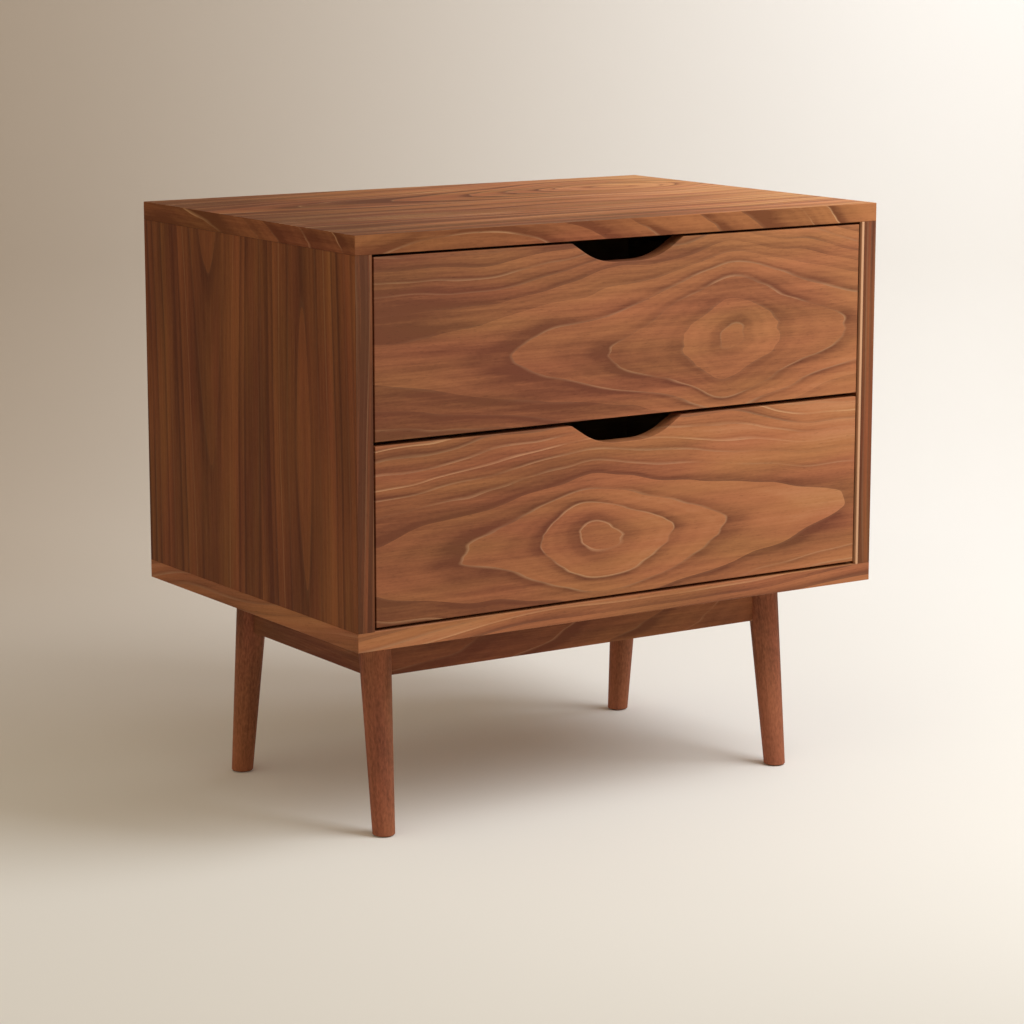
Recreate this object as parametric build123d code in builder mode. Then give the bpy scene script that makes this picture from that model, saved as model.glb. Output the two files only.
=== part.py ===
from build123d import *
from math import hypot, radians, sqrt, tan
import os

# Nightstand with two inset drawers on four splayed round legs.
# Millimetres. +Z is up, the drawers face -Y, and the origin is on the floor
# under the middle of the case.

# ---------------------------------------------------------------- driving sizes
case_width = 600
case_depth = 412
overall_height = 579
leg_height = 198
board = 18  # thickness of every case board and drawer front
edge_ease = 0.6  # small rounding on edges that a hand meets

back_thickness = 6
back_rabbet_width = 9
back_rabbet_depth = 8

front_recess = 1.5  # the drawer fronts sit this far behind the case edge
side_gap = 2.5
top_gap = 2.5
middle_gap = 4
bottom_gap = 3

grip_width = 128  # finger cut-out along the top edge of a front
grip_depth = 20
grip_slope = 33  # degrees from level
grip_floor_radius = 40
grip_corner_radius = 4

box_board = 12  # drawer box sides, front and back
box_height = 112
box_length = 355
box_rise = 14  # box starts this far above the lower edge of its front
box_bottom_thickness = 6
groove_rise = 10
groove_depth = 5
groove_play = 0.2

slide_thickness = 12.7  # ball bearing slide, 45 mm tall, three members
slide_length = 350
slide_setback = 2.5  # behind the back of the drawer front
slide_rise = 50  # middle of the slide above the bottom of the box
sheet = 1.2

leg_top_x = 230.7
leg_top_y = 117.5
leg_foot_x = 234.6
leg_foot_y = 139.9
leg_top_radius = 16.1
leg_foot_radius = 10.8
pad_radius = 8.5
pad_height = 4
pad_proud = 1

apron_height = 48
apron_thickness = 18
apron_offset = 5.4  # outer face beyond the top end of the leg's axis
tenon_thickness = 8
tenon_height = 12
tenon_reach = 18
block_leg = 60  # corner block, measured along each apron
block_height = 38
bolt_radius = 3
bolt_height = 174

fit_play = 0.05  # radial play of pins and screws in their holes

# ---------------------------------------------------------------- worked out
case_bottom = leg_height
opening_floor = case_bottom + board
opening_ceiling = overall_height - board
opening_height = opening_ceiling - opening_floor
inner_half = case_width / 2 - board
front_edge = -case_depth / 2
rear_edge = case_depth / 2

front_height = (opening_height - top_gap - middle_gap - bottom_gap) / 2
front_width = 2 * (inner_half - side_gap)
front_face = front_edge + front_recess
front_back = front_face + board
front_foot = {
    "upper": opening_ceiling - top_gap - front_height,
    "lower": opening_floor + bottom_gap,
}

box_half = inner_half - slide_thickness
box_inner_half = box_half - box_board
box_rear = front_back + box_length
box_front_inside = front_back + box_board
box_back_inside = box_rear - box_board

slide_start = front_back + slide_setback

apron_bottom = leg_height - apron_height
apron_face_x = leg_top_x + apron_offset
apron_face_y = leg_top_y + apron_offset
apron_inner_x = apron_face_x - apron_thickness
apron_inner_y = apron_face_y - apron_thickness
tenon_middle_x = apron_face_x - apron_thickness / 2
tenon_middle_y = apron_face_y - apron_thickness / 2

lean = (leg_height - bolt_height) / leg_height
bolt_leg_x = leg_top_x + lean * (leg_foot_x - leg_top_x)
bolt_leg_y = leg_top_y + lean * (leg_foot_y - leg_top_y)

sides = {"left": -1, "right": 1}
ends = {"front": -1, "rear": 1}

os.makedirs("parts", exist_ok=True)


# ---------------------------------------------------------------- helpers
def save(piece, name):
    """Label a finished piece and write it as its own file."""
    piece.part.label = name
    export_step(piece.part, f"parts/{name}.step")


def level(height):
    """A horizontal plane that looks up."""
    return Plane.XY.offset(height)


def facing_front(depth):
    """An upright plane at this depth that looks to the front."""
    return Plane.XZ.offset(-depth)


def facing_right(x):
    """An upright plane at this x that looks to the right; its local x is +Y."""
    return Plane.YZ.offset(x)


def slab(plane, width, length, thickness, centre=(0, 0), mode=Mode.ADD):
    """A rectangular board that grows out of a plane into the open block."""
    with BuildSketch(plane) as outline:
        with Locations(centre):
            Rectangle(width, length)
    extrude(outline.sketch, amount=thickness, mode=mode)


def pins(plane, points, radius, length, mode=Mode.ADD):
    """Round pins, or holes when subtracted, that start on a plane."""
    with BuildSketch(plane) as rounds:
        with Locations(*points):
            Circle(radius)
    extrude(rounds.sketch, amount=length, mode=mode)


def screws(plane, points, radius, length, head_radius, head_height, drive=1.1):
    """Pan head screws: the plane is the seat of the heads and looks out of them."""
    pins(plane, points, radius, -length)
    pins(plane, points, head_radius, head_height)
    drive_plane = plane.offset(head_height)
    with BuildSketch(drive_plane) as crosses:
        with Locations(*points):
            Rectangle(head_radius, drive)
            Rectangle(drive, head_radius)
    extrude(crosses.sketch, amount=-head_height / 2, mode=Mode.SUBTRACT)


# ---------------------------------------------------------------- case
dowel_radius = 4
dowel_in_side = 18
dowel_in_board = 12
dowel_x = inner_half + board / 2
dowel_depths = (-160, -60, 60, 150)
dowel_spots = [(s * dowel_x, y) for s in (-1, 1) for y in dowel_depths]

back_screw_length = 16
back_screw_radius = 1.75
back_head_radius = 3.2
back_head_height = 1.4
back_screw_heights = (250, 330, 447, 527)
back_screw_columns = (-150, 0, 150)
ledge_x = inner_half + back_rabbet_width / 2
ledge_bottom = opening_floor - back_rabbet_width / 2
ledge_top = opening_ceiling + back_rabbet_width / 2
back_screw_spots = [(s * ledge_x, z) for s in (-1, 1) for z in back_screw_heights]
back_screw_spots += [(x, z) for x in back_screw_columns for z in (ledge_bottom, ledge_top)]
rabbet_shoulder = rear_edge - back_rabbet_depth

base_screw_radius = 2.25
base_screw_length = 50
base_head_radius = 4.5
base_head_height = 2.4
base_drive = 1.4  # width of an arm of the cross recess
block_bottom = leg_height - block_height
near_apron = 10
along_apron = 38
base_screw_spots = []
for sx in (-1, 1):
    for sy in (-1, 1):
        for in_x, in_y in ((along_apron, near_apron), (near_apron, along_apron)):
            base_screw_spots.append((sx * (apron_inner_x - in_x), sy * (apron_inner_y - in_y)))

rabbet_span = 2 * (inner_half + back_rabbet_width)

with BuildPart() as top_panel:
    slab(level(opening_ceiling), case_width, case_depth, board)
    fillet(top_panel.edges(), radius=edge_ease)
    slab(level(opening_ceiling), rabbet_span, back_rabbet_depth, back_rabbet_width,
         (0, rear_edge - back_rabbet_depth / 2), Mode.SUBTRACT)
    pins(level(opening_ceiling), dowel_spots, dowel_radius + fit_play, dowel_in_board, Mode.SUBTRACT)
    pins(facing_front(rabbet_shoulder), [p for p in back_screw_spots if p[1] == ledge_top],
         back_screw_radius + fit_play, back_screw_length - back_thickness, Mode.SUBTRACT)
save(top_panel, "top_panel")

with BuildPart() as bottom_panel:
    slab(level(case_bottom), case_width, case_depth, board)
    fillet(bottom_panel.edges(), radius=edge_ease)
    slab(level(opening_floor - back_rabbet_width), rabbet_span, back_rabbet_depth, back_rabbet_width,
         (0, rear_edge - back_rabbet_depth / 2), Mode.SUBTRACT)
    pins(level(opening_floor), dowel_spots, dowel_radius + fit_play, -dowel_in_board, Mode.SUBTRACT)
    pins(level(case_bottom), base_screw_spots, base_screw_radius + fit_play,
         base_screw_length - block_height + fit_play, Mode.SUBTRACT)
    pins(facing_front(rabbet_shoulder), [p for p in back_screw_spots if p[1] == ledge_bottom],
         back_screw_radius + fit_play, back_screw_length - back_thickness, Mode.SUBTRACT)
save(bottom_panel, "bottom_panel")

runner_screw_radius = 2
runner_screw_length = 12
runner_head_radius = 3.4
runner_head_height = 1.6
runner_screw_depths = (-160, -10, 140)
slide_height = {name: foot + box_rise + slide_rise for name, foot in front_foot.items()}
case_runner_spots = [(y, z) for y in runner_screw_depths for z in slide_height.values()]

for side, sx in sides.items():
    with BuildPart() as side_panel:
        slab(level(opening_floor), board, case_depth, opening_height, (sx * dowel_x, 0))
        upright_edges = side_panel.edges().filter_by(Axis.Z)
        fillet(upright_edges, radius=edge_ease)
        slab(level(opening_floor), back_rabbet_width, back_rabbet_depth, opening_height,
             (sx * ledge_x, rear_edge - back_rabbet_depth / 2), Mode.SUBTRACT)
        own_dowels = [p for p in dowel_spots if p[0] * sx > 0]
        pins(level(opening_floor), own_dowels, dowel_radius + fit_play, dowel_in_side, Mode.SUBTRACT)
        pins(level(opening_ceiling), own_dowels, dowel_radius + fit_play, -dowel_in_side, Mode.SUBTRACT)
        own_screws = [p for p in back_screw_spots if p[0] == sx * ledge_x]
        pins(facing_front(rabbet_shoulder), own_screws, back_screw_radius + fit_play,
             back_screw_length - back_thickness, Mode.SUBTRACT)
        pins(facing_right(sx * inner_half), case_runner_spots, runner_screw_radius + fit_play,
             sx * (runner_screw_length - sheet + fit_play), Mode.SUBTRACT)
    save(side_panel, f"side_panel_{side}")

back_play = 0.5
back_height = opening_height + 2 * back_rabbet_width - 2 * back_play
back_middle = (opening_floor + opening_ceiling) / 2
with BuildPart() as back_panel:
    slab(facing_front(rabbet_shoulder), rabbet_span - 2 * back_play, back_height, -back_thickness,
         (0, back_middle))
    pins(facing_front(rabbet_shoulder), back_screw_spots, back_screw_radius + fit_play,
         -back_thickness, Mode.SUBTRACT)
save(back_panel, "back_panel")

with BuildPart() as back_panel_screws:
    seat = Plane(origin=(0, rabbet_shoulder + back_thickness, 0), x_dir=(-1, 0, 0), z_dir=(0, 1, 0))
    screws(seat, [(-x, z) for x, z in back_screw_spots], back_screw_radius,
           back_screw_length - fit_play, back_head_radius, back_head_height)
save(back_panel_screws, "back_panel_screws")

dowel_length = dowel_in_side + dowel_in_board
with BuildPart() as case_dowels:
    pins(level(opening_floor - dowel_in_board), dowel_spots, dowel_radius, dowel_length)
    pins(level(opening_ceiling - dowel_in_side), dowel_spots, dowel_radius, dowel_length)
save(case_dowels, "case_dowels")


# ---------------------------------------------------------------- base
leg_axis_length = hypot(leg_foot_x - leg_top_x, leg_foot_y - leg_top_y, leg_height)
overrun = 5  # the leg's cone passes both cuts by this much
taper = (leg_top_radius - leg_foot_radius) / leg_axis_length
blank_length = leg_axis_length + 2 * overrun


def leg_blank(sx, sy, grow=0, mode=Mode.ADD):
    """The leg's tapered round, longer than the leg at both ends."""
    down = (sx * (leg_foot_x - leg_top_x), sy * (leg_foot_y - leg_top_y), -leg_height)
    axis_plane = Plane(origin=(sx * leg_top_x, sy * leg_top_y, leg_height), z_dir=down)
    with Locations(axis_plane.offset(-overrun)):
        Cone(
            bottom_radius=leg_top_radius + grow + taper * overrun,
            top_radius=leg_foot_radius + grow - taper * overrun,
            height=blank_length,
            align=(Align.CENTER, Align.CENTER, Align.MIN),
            mode=mode,
        )


def front_tenon(sx, sy, grow=0, mode=Mode.ADD):
    """The tenon of a front or rear apron, above the bolt."""
    start = apron_inner_x - tenon_reach
    end = leg_top_x + grow
    slab(level(front_tenon_bottom - grow), end - start, tenon_thickness + 2 * grow,
         tenon_height + 2 * grow, (sx * (start + end) / 2, sy * tenon_middle_y), mode)


def side_tenon(sx, sy, grow=0, mode=Mode.ADD):
    """The tenon of a side apron, below the bolt."""
    start = apron_inner_y - tenon_reach
    end = leg_top_y + tenon_thickness / 2 + grow
    slab(level(side_tenon_bottom - grow), tenon_thickness + 2 * grow, end - start,
         tenon_height + 2 * grow, (sx * tenon_middle_x, sy * (start + end) / 2), mode)


def bolt_plane(sx, sy):
    """A plane on the leg's axis at bolt height that looks to the middle of the base."""
    return Plane(origin=(sx * bolt_leg_x, sy * bolt_leg_y, bolt_height), z_dir=(-sx, -sy, 0))


def bolt_hole(sx, sy, play):
    """A hole for the bolt, from the leg's axis to beyond the corner block."""
    pins(bolt_plane(sx, sy), [(0, 0)], bolt_radius + play, bolt_end, Mode.SUBTRACT)


tenon_margin = 4  # from the apron's edge
front_tenon_bottom = leg_height - tenon_margin - tenon_height
side_tenon_bottom = apron_bottom + tenon_margin
bolt_past_axis = 5
bolt_drill_play = 0.3  # in the aprons and the corner block
bolt_run = bolt_leg_x - apron_inner_x + bolt_leg_y - apron_inner_y + block_leg
bolt_to_face = bolt_run / sqrt(2)  # from the leg's axis to the block's long face
nut_height = 5
bolt_end = bolt_to_face + nut_height + 4
corners = [(side, end, sx, sy) for end, sy in ends.items() for side, sx in sides.items()]

for side, end, sx, sy in corners:
    with BuildPart() as leg:
        leg_blank(sx, sy)
        slab(level(pad_proud), case_width, case_depth, leg_height - pad_proud, mode=Mode.INTERSECT)
        foot_edge = leg.edges().sort_by(Axis.Z)[0]
        fillet(foot_edge, radius=edge_ease)
        front_tenon(sx, sy, fit_play, Mode.SUBTRACT)
        side_tenon(sx, sy, fit_play, Mode.SUBTRACT)
        pins(bolt_plane(sx, sy).offset(-bolt_past_axis), [(0, 0)], bolt_radius + fit_play,
             bolt_past_axis + 2 * leg_top_radius, Mode.SUBTRACT)
        pins(level(pad_proud), [(sx * leg_foot_x, sy * leg_foot_y)], pad_radius + fit_play,
             pad_height - pad_proud, Mode.SUBTRACT)
    save(leg, f"leg_{end}_{side}")

for end, sy in ends.items():
    with BuildPart() as apron:
        slab(level(apron_bottom), 2 * apron_inner_x, apron_thickness, apron_height,
             (0, sy * tenon_middle_y))
        lower_edges = apron.edges().filter_by(Axis.X).group_by(Axis.Z)[0]
        fillet(lower_edges, radius=edge_ease)
        for sx in (-1, 1):
            leg_blank(sx, sy, fit_play, Mode.SUBTRACT)
            front_tenon(sx, sy)
            bolt_hole(sx, sy, bolt_drill_play)
    save(apron, f"apron_{end}")

side_apron_half = leg_top_y - bolt_radius
for side, sx in sides.items():
    with BuildPart() as apron:
        slab(level(apron_bottom), apron_thickness, 2 * side_apron_half, apron_height,
             (sx * tenon_middle_x, 0))
        lower_edges = apron.edges().filter_by(Axis.Y).group_by(Axis.Z)[0]
        fillet(lower_edges, radius=edge_ease)
        for sy in (-1, 1):
            leg_blank(sx, sy, fit_play, Mode.SUBTRACT)
            front_tenon(sx, sy, fit_play, Mode.SUBTRACT)
            side_tenon(sx, sy)
            bolt_hole(sx, sy, bolt_drill_play)
    save(apron, f"apron_{side}")

for side, end, sx, sy in corners:
    with BuildPart() as corner_block:
        with BuildSketch(level(block_bottom)):
            with BuildLine():
                Polyline(
                    (sx * apron_inner_x, sy * apron_inner_y),
                    (sx * (apron_inner_x - block_leg), sy * apron_inner_y),
                    (sx * apron_inner_x, sy * (apron_inner_y - block_leg)),
                    close=True,
                )
            make_face()
        extrude(amount=block_height)
        own_screws = [p for p in base_screw_spots if p[0] * sx > 0 and p[1] * sy > 0]
        pins(level(block_bottom), own_screws, base_screw_radius + fit_play, block_height, Mode.SUBTRACT)
        bolt_hole(sx, sy, bolt_drill_play)
    save(corner_block, f"corner_block_{end}_{side}")

with BuildPart() as leg_bolts:
    for side, end, sx, sy in corners:
        pins(bolt_plane(sx, sy).offset(-bolt_past_axis), [(0, 0)], bolt_radius, bolt_past_axis + bolt_end)
save(leg_bolts, "leg_bolts")

washer_radius = 7
washer_height = 1.5
with BuildPart() as leg_bolt_nuts:
    for side, end, sx, sy in corners:
        seat = bolt_plane(sx, sy).offset(bolt_to_face)
        pins(seat, [(0, 0)], washer_radius, washer_height)
        with BuildSketch(seat):
            RegularPolygon(radius=nut_height, side_count=6, major_radius=False)
        extrude(amount=nut_height)
        pins(seat, [(0, 0)], bolt_radius + fit_play, nut_height, Mode.SUBTRACT)
save(leg_bolt_nuts, "leg_bolt_nuts")

with BuildPart() as base_screws:
    seat = Plane(origin=(0, 0, block_bottom), x_dir=(1, 0, 0), z_dir=(0, 0, -1))
    screws(seat, [(x, -y) for x, y in base_screw_spots], base_screw_radius, base_screw_length,
           base_head_radius, base_head_height, base_drive)
save(base_screws, "base_screws")

with BuildPart() as foot_pads:
    pins(level(0), [(sx * leg_foot_x, sy * leg_foot_y) for side, end, sx, sy in corners],
         pad_radius, pad_height)
save(foot_pads, "foot_pads")


# ---------------------------------------------------------------- slides
# Distances are measured from the case side, towards the drawer. Each member is a
# channel: a web and two flanges. The middle member runs on two rows of balls in
# the case member, and carries two rows for the drawer member.
case_half = 22.5
case_reach = 10.2
lip_height = 1.4
lip_width = 0.8
middle_start = 3.4
middle_half = 17.2
middle_reach = 10.6
inner_start = 5.6
inner_half_height = 12.2

ball_play = 0.05  # to the middle member, which carries the balls
outer_ball = 1.85
outer_ball_depth = 6.6
inner_ball = 1.7
inner_ball_depth = 8
ball_pitch = 17
balls_in_row = 10
cage_end = 3  # the cage runs on past its last ball
row_gap = 2  # from the middle of the slide to a cage
row_length = (balls_in_row - 1) * ball_pitch + 2 * cage_end
cage_thickness = 0.6
cage_width = 3.6
slide_middle = slide_start + slide_length / 2
outer_row_middle = slide_middle + row_length / 2 + row_gap
inner_row_middle = slide_middle - row_length / 2 - row_gap
outer_ball_rise = middle_half + ball_play + outer_ball
inner_ball_rise = middle_half - sheet - ball_play - inner_ball


def strip(sx, z, near, far, low, high, mode=Mode.ADD):
    """A bar along the slide between two distances from the case side."""
    with BuildSketch(facing_front(slide_start)) as section:
        with Locations((sx * (inner_half - (near + far) / 2), z + (low + high) / 2)):
            Rectangle(far - near, high - low)
    extrude(section.sketch, amount=-slide_length, mode=mode)


def channel(sx, z, near, far, half, web_near, web_far):
    """A web with a flange above and below."""
    strip(sx, z, web_near, web_far, -half, half)
    strip(sx, z, near, far, half - sheet, half)
    strip(sx, z, near, far, -half, sheet - half)


def ball_rows(sx, z, rise, depth, radius, middle):
    """One row of balls above and one below, each held in a flat cage."""
    x = sx * (inner_half - depth)
    for up in (-1, 1):
        slab(level(z + up * rise - cage_thickness / 2), cage_width, row_length, cage_thickness, (x, middle))
        with Locations((x, middle, z + up * rise)):
            with GridLocations(0, ball_pitch, 1, balls_in_row):
                Sphere(radius)


for storey in front_foot:
    z = slide_height[storey]
    for side, sx in sides.items():
        with BuildPart() as case_runner:
            channel(sx, z, 0, case_reach, case_half, 0, sheet)
            lip_top = case_half - sheet
            strip(sx, z, case_reach - lip_width, case_reach, lip_top - lip_height, lip_top)
            strip(sx, z, case_reach - lip_width, case_reach, -lip_top, lip_height - lip_top)
            pins(facing_right(sx * inner_half), [(y, z) for y in runner_screw_depths],
                 runner_screw_radius + fit_play, -sx * sheet, Mode.SUBTRACT)
        save(case_runner, f"case_runner_{storey}_{side}")

        with BuildPart() as middle_runner:
            channel(sx, z, middle_start, middle_reach, middle_half, middle_start, middle_start + sheet)
        save(middle_runner, f"middle_runner_{storey}_{side}")

        with BuildPart() as runner_balls:
            ball_rows(sx, z, outer_ball_rise, outer_ball_depth, outer_ball, outer_row_middle)
            ball_rows(sx, z, inner_ball_rise, inner_ball_depth, inner_ball, inner_row_middle)
        save(runner_balls, f"runner_balls_{storey}_{side}")

        with BuildPart() as drawer_runner:
            channel(sx, z, inner_start, slide_thickness, inner_half_height,
                    slide_thickness - sheet, slide_thickness)
            pins(facing_right(sx * box_half), [(y, z) for y in runner_screw_depths],
                 runner_screw_radius + fit_play, sx * sheet, Mode.SUBTRACT)
        save(drawer_runner, f"drawer_runner_{storey}_{side}")

with BuildPart() as case_runner_screws:
    for side, sx in sides.items():
        seat = Plane(origin=(sx * (inner_half - sheet), 0, 0), x_dir=(0, -sx, 0), z_dir=(-sx, 0, 0))
        screws(seat, [(-sx * y, z) for y, z in case_runner_spots], runner_screw_radius,
               runner_screw_length, runner_head_radius, runner_head_height)
save(case_runner_screws, "case_runner_screws")


# ---------------------------------------------------------------- drawers
grip_run = grip_depth / tan(radians(grip_slope))
front_screw_radius = 2
front_screw_length = 24
front_head_radius = 4
front_head_height = 2
front_screw_reach = 190  # from the middle of the front
front_screw_rises = (40, 90)  # above the bottom of the box
front_screw_spots = [(s * front_screw_reach, z) for s in (-1, 1) for z in front_screw_rises]
drawer_screw_length = 10  # stays inside the box side

for storey, foot in front_foot.items():
    front_top = foot + front_height
    box_bottom = foot + box_rise
    groove_bottom = box_bottom + groove_rise
    groove_height = box_bottom_thickness + groove_play
    screw_spots = [(x, box_bottom + z) for x, z in front_screw_spots]
    drawer_runner_spots = [(y, slide_height[storey]) for y in runner_screw_depths]

    with BuildPart() as drawer_front:
        with BuildSketch(facing_front(front_back)) as outline:
            with Locations((0, foot + front_height / 2)):
                Rectangle(front_width, front_height)
            with BuildLine():
                Polyline(
                    (-grip_width / 2, front_top),
                    (grip_run - grip_width / 2, front_top - grip_depth),
                    (grip_width / 2 - grip_run, front_top - grip_depth),
                    (grip_width / 2, front_top),
                    close=True,
                )
            make_face(mode=Mode.SUBTRACT)
            grip_corners = [v for v in outline.vertices() if abs(v.X) < grip_width]
            grip_floor = ShapeList(grip_corners).group_by(Axis.Y)[0]
            grip_ends = ShapeList(grip_corners).group_by(Axis.Y)[-1]
            fillet(grip_floor, radius=grip_floor_radius)
            fillet(grip_ends, radius=grip_corner_radius)
        extrude(amount=board)
        face_outline = drawer_front.faces().sort_by(Axis.Y)[0].edges()
        fillet(face_outline, radius=edge_ease)
        pins(facing_front(front_back), screw_spots, front_screw_radius + fit_play,
             front_screw_length - box_board + fit_play, Mode.SUBTRACT)
    save(drawer_front, f"drawer_front_{storey}")

    for end, wall, inside, turn in (
        ("front", front_back, box_front_inside, 1),
        ("back", box_rear, box_back_inside, -1),
    ):
        with BuildPart() as box_end:
            slab(facing_front(wall), 2 * (box_inner_half + groove_depth), box_height,
                 -turn * box_board, (0, box_bottom + box_height / 2))
            top_edges = box_end.edges().filter_by(Axis.X).group_by(Axis.Z)[-1]
            fillet(top_edges, radius=edge_ease)
            slab(facing_front(inside), case_width, groove_height, turn * (groove_depth + fit_play),
                 (0, groove_bottom + groove_height / 2), Mode.SUBTRACT)
            if end == "front":
                pins(facing_front(front_back), screw_spots, front_screw_radius + fit_play,
                     -box_board, Mode.SUBTRACT)
        save(box_end, f"box_{end}_{storey}")

    for side, sx in sides.items():
        with BuildPart() as box_side:
            slab(level(box_bottom), box_board, box_length, box_height,
                 (sx * (box_inner_half + box_board / 2), (front_back + box_rear) / 2))
            top_edges = box_side.edges().filter_by(Axis.Y).group_by(Axis.Z)[-1]
            fillet(top_edges, radius=edge_ease)
            for wall in (front_back + box_board / 2, box_rear - box_board / 2):
                slab(level(box_bottom), groove_depth, box_board, box_height,
                     (sx * (box_inner_half + groove_depth / 2), wall), Mode.SUBTRACT)
            slab(facing_right(sx * box_inner_half), box_length, groove_height,
                 sx * (groove_depth + fit_play),
                 ((front_back + box_rear) / 2, groove_bottom + groove_height / 2), Mode.SUBTRACT)
            pins(facing_right(sx * box_half), drawer_runner_spots, runner_screw_radius + fit_play,
                 -sx * (drawer_screw_length - sheet), Mode.SUBTRACT)
        save(box_side, f"box_{side}_{storey}")

    with BuildPart() as box_bottom_board:
        slab(level(groove_bottom), 2 * (box_inner_half + groove_depth),
             box_back_inside - box_front_inside + 2 * groove_depth, box_bottom_thickness,
             (0, (box_back_inside + box_front_inside) / 2))
    save(box_bottom_board, f"box_bottom_{storey}")

    with BuildPart() as front_screws:
        seat = Plane(origin=(0, box_front_inside, 0), x_dir=(-1, 0, 0), z_dir=(0, 1, 0))
        screws(seat, [(-x, z) for x, z in screw_spots], front_screw_radius, front_screw_length,
               front_head_radius, front_head_height)
    save(front_screws, f"front_screws_{storey}")

    with BuildPart() as drawer_runner_screws:
        for side, sx in sides.items():
            seat = Plane(origin=(sx * (box_half + sheet), 0, 0), x_dir=(0, sx, 0), z_dir=(sx, 0, 0))
            screws(seat, [(sx * y, z) for y, z in drawer_runner_spots], runner_screw_radius,
                   drawer_screw_length, runner_head_radius, runner_head_height)
    save(drawer_runner_screws, f"drawer_runner_screws_{storey}")
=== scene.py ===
from math import copysign, cos, pi, radians, sin, tan

import bmesh
import bpy
from bpy.props import FloatProperty, FloatVectorProperty, IntProperty, PointerProperty
from mathutils import Matrix, Vector


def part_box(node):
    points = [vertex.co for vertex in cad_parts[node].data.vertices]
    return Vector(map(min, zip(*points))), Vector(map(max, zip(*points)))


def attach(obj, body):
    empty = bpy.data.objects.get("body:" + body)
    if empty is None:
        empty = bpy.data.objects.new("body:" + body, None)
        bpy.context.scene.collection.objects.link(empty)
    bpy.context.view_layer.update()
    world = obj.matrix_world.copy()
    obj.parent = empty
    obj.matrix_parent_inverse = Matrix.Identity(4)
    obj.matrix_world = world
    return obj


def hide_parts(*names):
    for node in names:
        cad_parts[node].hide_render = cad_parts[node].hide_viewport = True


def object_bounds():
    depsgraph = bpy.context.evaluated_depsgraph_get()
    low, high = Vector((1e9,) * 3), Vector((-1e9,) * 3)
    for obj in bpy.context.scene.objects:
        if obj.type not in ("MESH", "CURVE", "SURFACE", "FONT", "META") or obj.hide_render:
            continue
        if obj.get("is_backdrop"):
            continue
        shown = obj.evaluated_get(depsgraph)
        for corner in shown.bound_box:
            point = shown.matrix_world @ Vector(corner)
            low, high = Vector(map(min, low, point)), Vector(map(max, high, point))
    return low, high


bl_info = {
    "name": "Nightstand with drawers",
    "version": (1, 0, 0),
    "blender": (4, 5, 0),
    "location": "3D View > Sidebar > Nightstand",
    "description": "Walnut nightstand: boards, drawer fronts, legs, slides, screws and their finishes",
    "category": "Add Mesh",
}

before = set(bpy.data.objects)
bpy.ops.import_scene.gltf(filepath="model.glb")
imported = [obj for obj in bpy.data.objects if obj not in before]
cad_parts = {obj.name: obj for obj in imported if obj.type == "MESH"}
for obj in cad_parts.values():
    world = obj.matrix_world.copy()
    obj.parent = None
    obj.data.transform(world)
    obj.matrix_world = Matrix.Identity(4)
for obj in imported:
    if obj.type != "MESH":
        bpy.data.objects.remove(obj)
cad_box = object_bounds()

MM = 0.001
SIDES = {"left": -1, "right": 1}
ENDS = {"front": -1, "rear": 1}
STOREYS = ("upper", "lower")
ALONG_X, ALONG_Y, ALONG_Z = (1, 0, 0), (0, 1, 0), (0, 0, 1)

# the kinds of node that are used most; MAP_RANGE takes a value, its range, and the range to make of it
MATH = "ShaderNodeMath"
VECTOR_MATH = "ShaderNodeVectorMath"
MAP_RANGE = "ShaderNodeMapRange"
MIX = "ShaderNodeMix"
COMBINE = "ShaderNodeCombineXYZ"


def srgb(code):
    """A hex colour as linear red, green, blue and alpha."""
    values = [int(code[i : i + 2], 16) / 255 for i in (1, 3, 5)]
    return [v / 12.92 if v <= 0.04045 else ((v + 0.055) / 1.055) ** 2.4 for v in values] + [1.0]


def colour(label, code, description):
    """A colour that a user may change."""
    return FloatVectorProperty(
        name=label, description=description, default=srgb(code), size=4, min=0, max=1, subtype="COLOR"
    )


def length(label, value, description):
    """A size that a user may change, given in millimetres and kept in metres."""
    return FloatProperty(
        name=label, description=description, default=value * MM, min=0, unit="LENGTH", subtype="DISTANCE"
    )


# ------------------------------------------------------------------ what a user may change
class NightstandColours(bpy.types.PropertyGroup):
    """Finishes of the wood, the fittings and the room."""

    walnut_light: colour("Walnut light", "#BF865F", "Early wood, the light part of a growth ring")
    walnut_middle: colour("Walnut middle", "#A56843", "The main tone of the oiled walnut")
    walnut_dark: colour("Walnut dark", "#6D3E28", "Late wood, the dark part of a growth ring")
    walnut_line: colour("Walnut line", "#CE9B72", "The thin light line where two rings meet")
    walnut_leg: colour("Leg wood", "#A06044", "Solid walnut of the legs, redder than the veneer")
    birch: colour("Birch", "#D9C3A0", "Faces of the drawer box plywood")
    birch_core: colour("Birch core", "#B08D63", "Cross layers on the edges of the plywood")
    beech: colour("Beech", "#C79F76", "Corner blocks and dowels")
    zinc: colour("Zinc", "#C9CBCC", "Bright zinc plating of screws and slides")
    steel: colour("Ball steel", "#D8D8D8", "Polished bearing balls")
    pad: colour("Foot pad", "#3B3733", "Nylon pads under the legs")
    floor: colour("Floor", "#F1EEEA", "Pale floor and backdrop")


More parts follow.
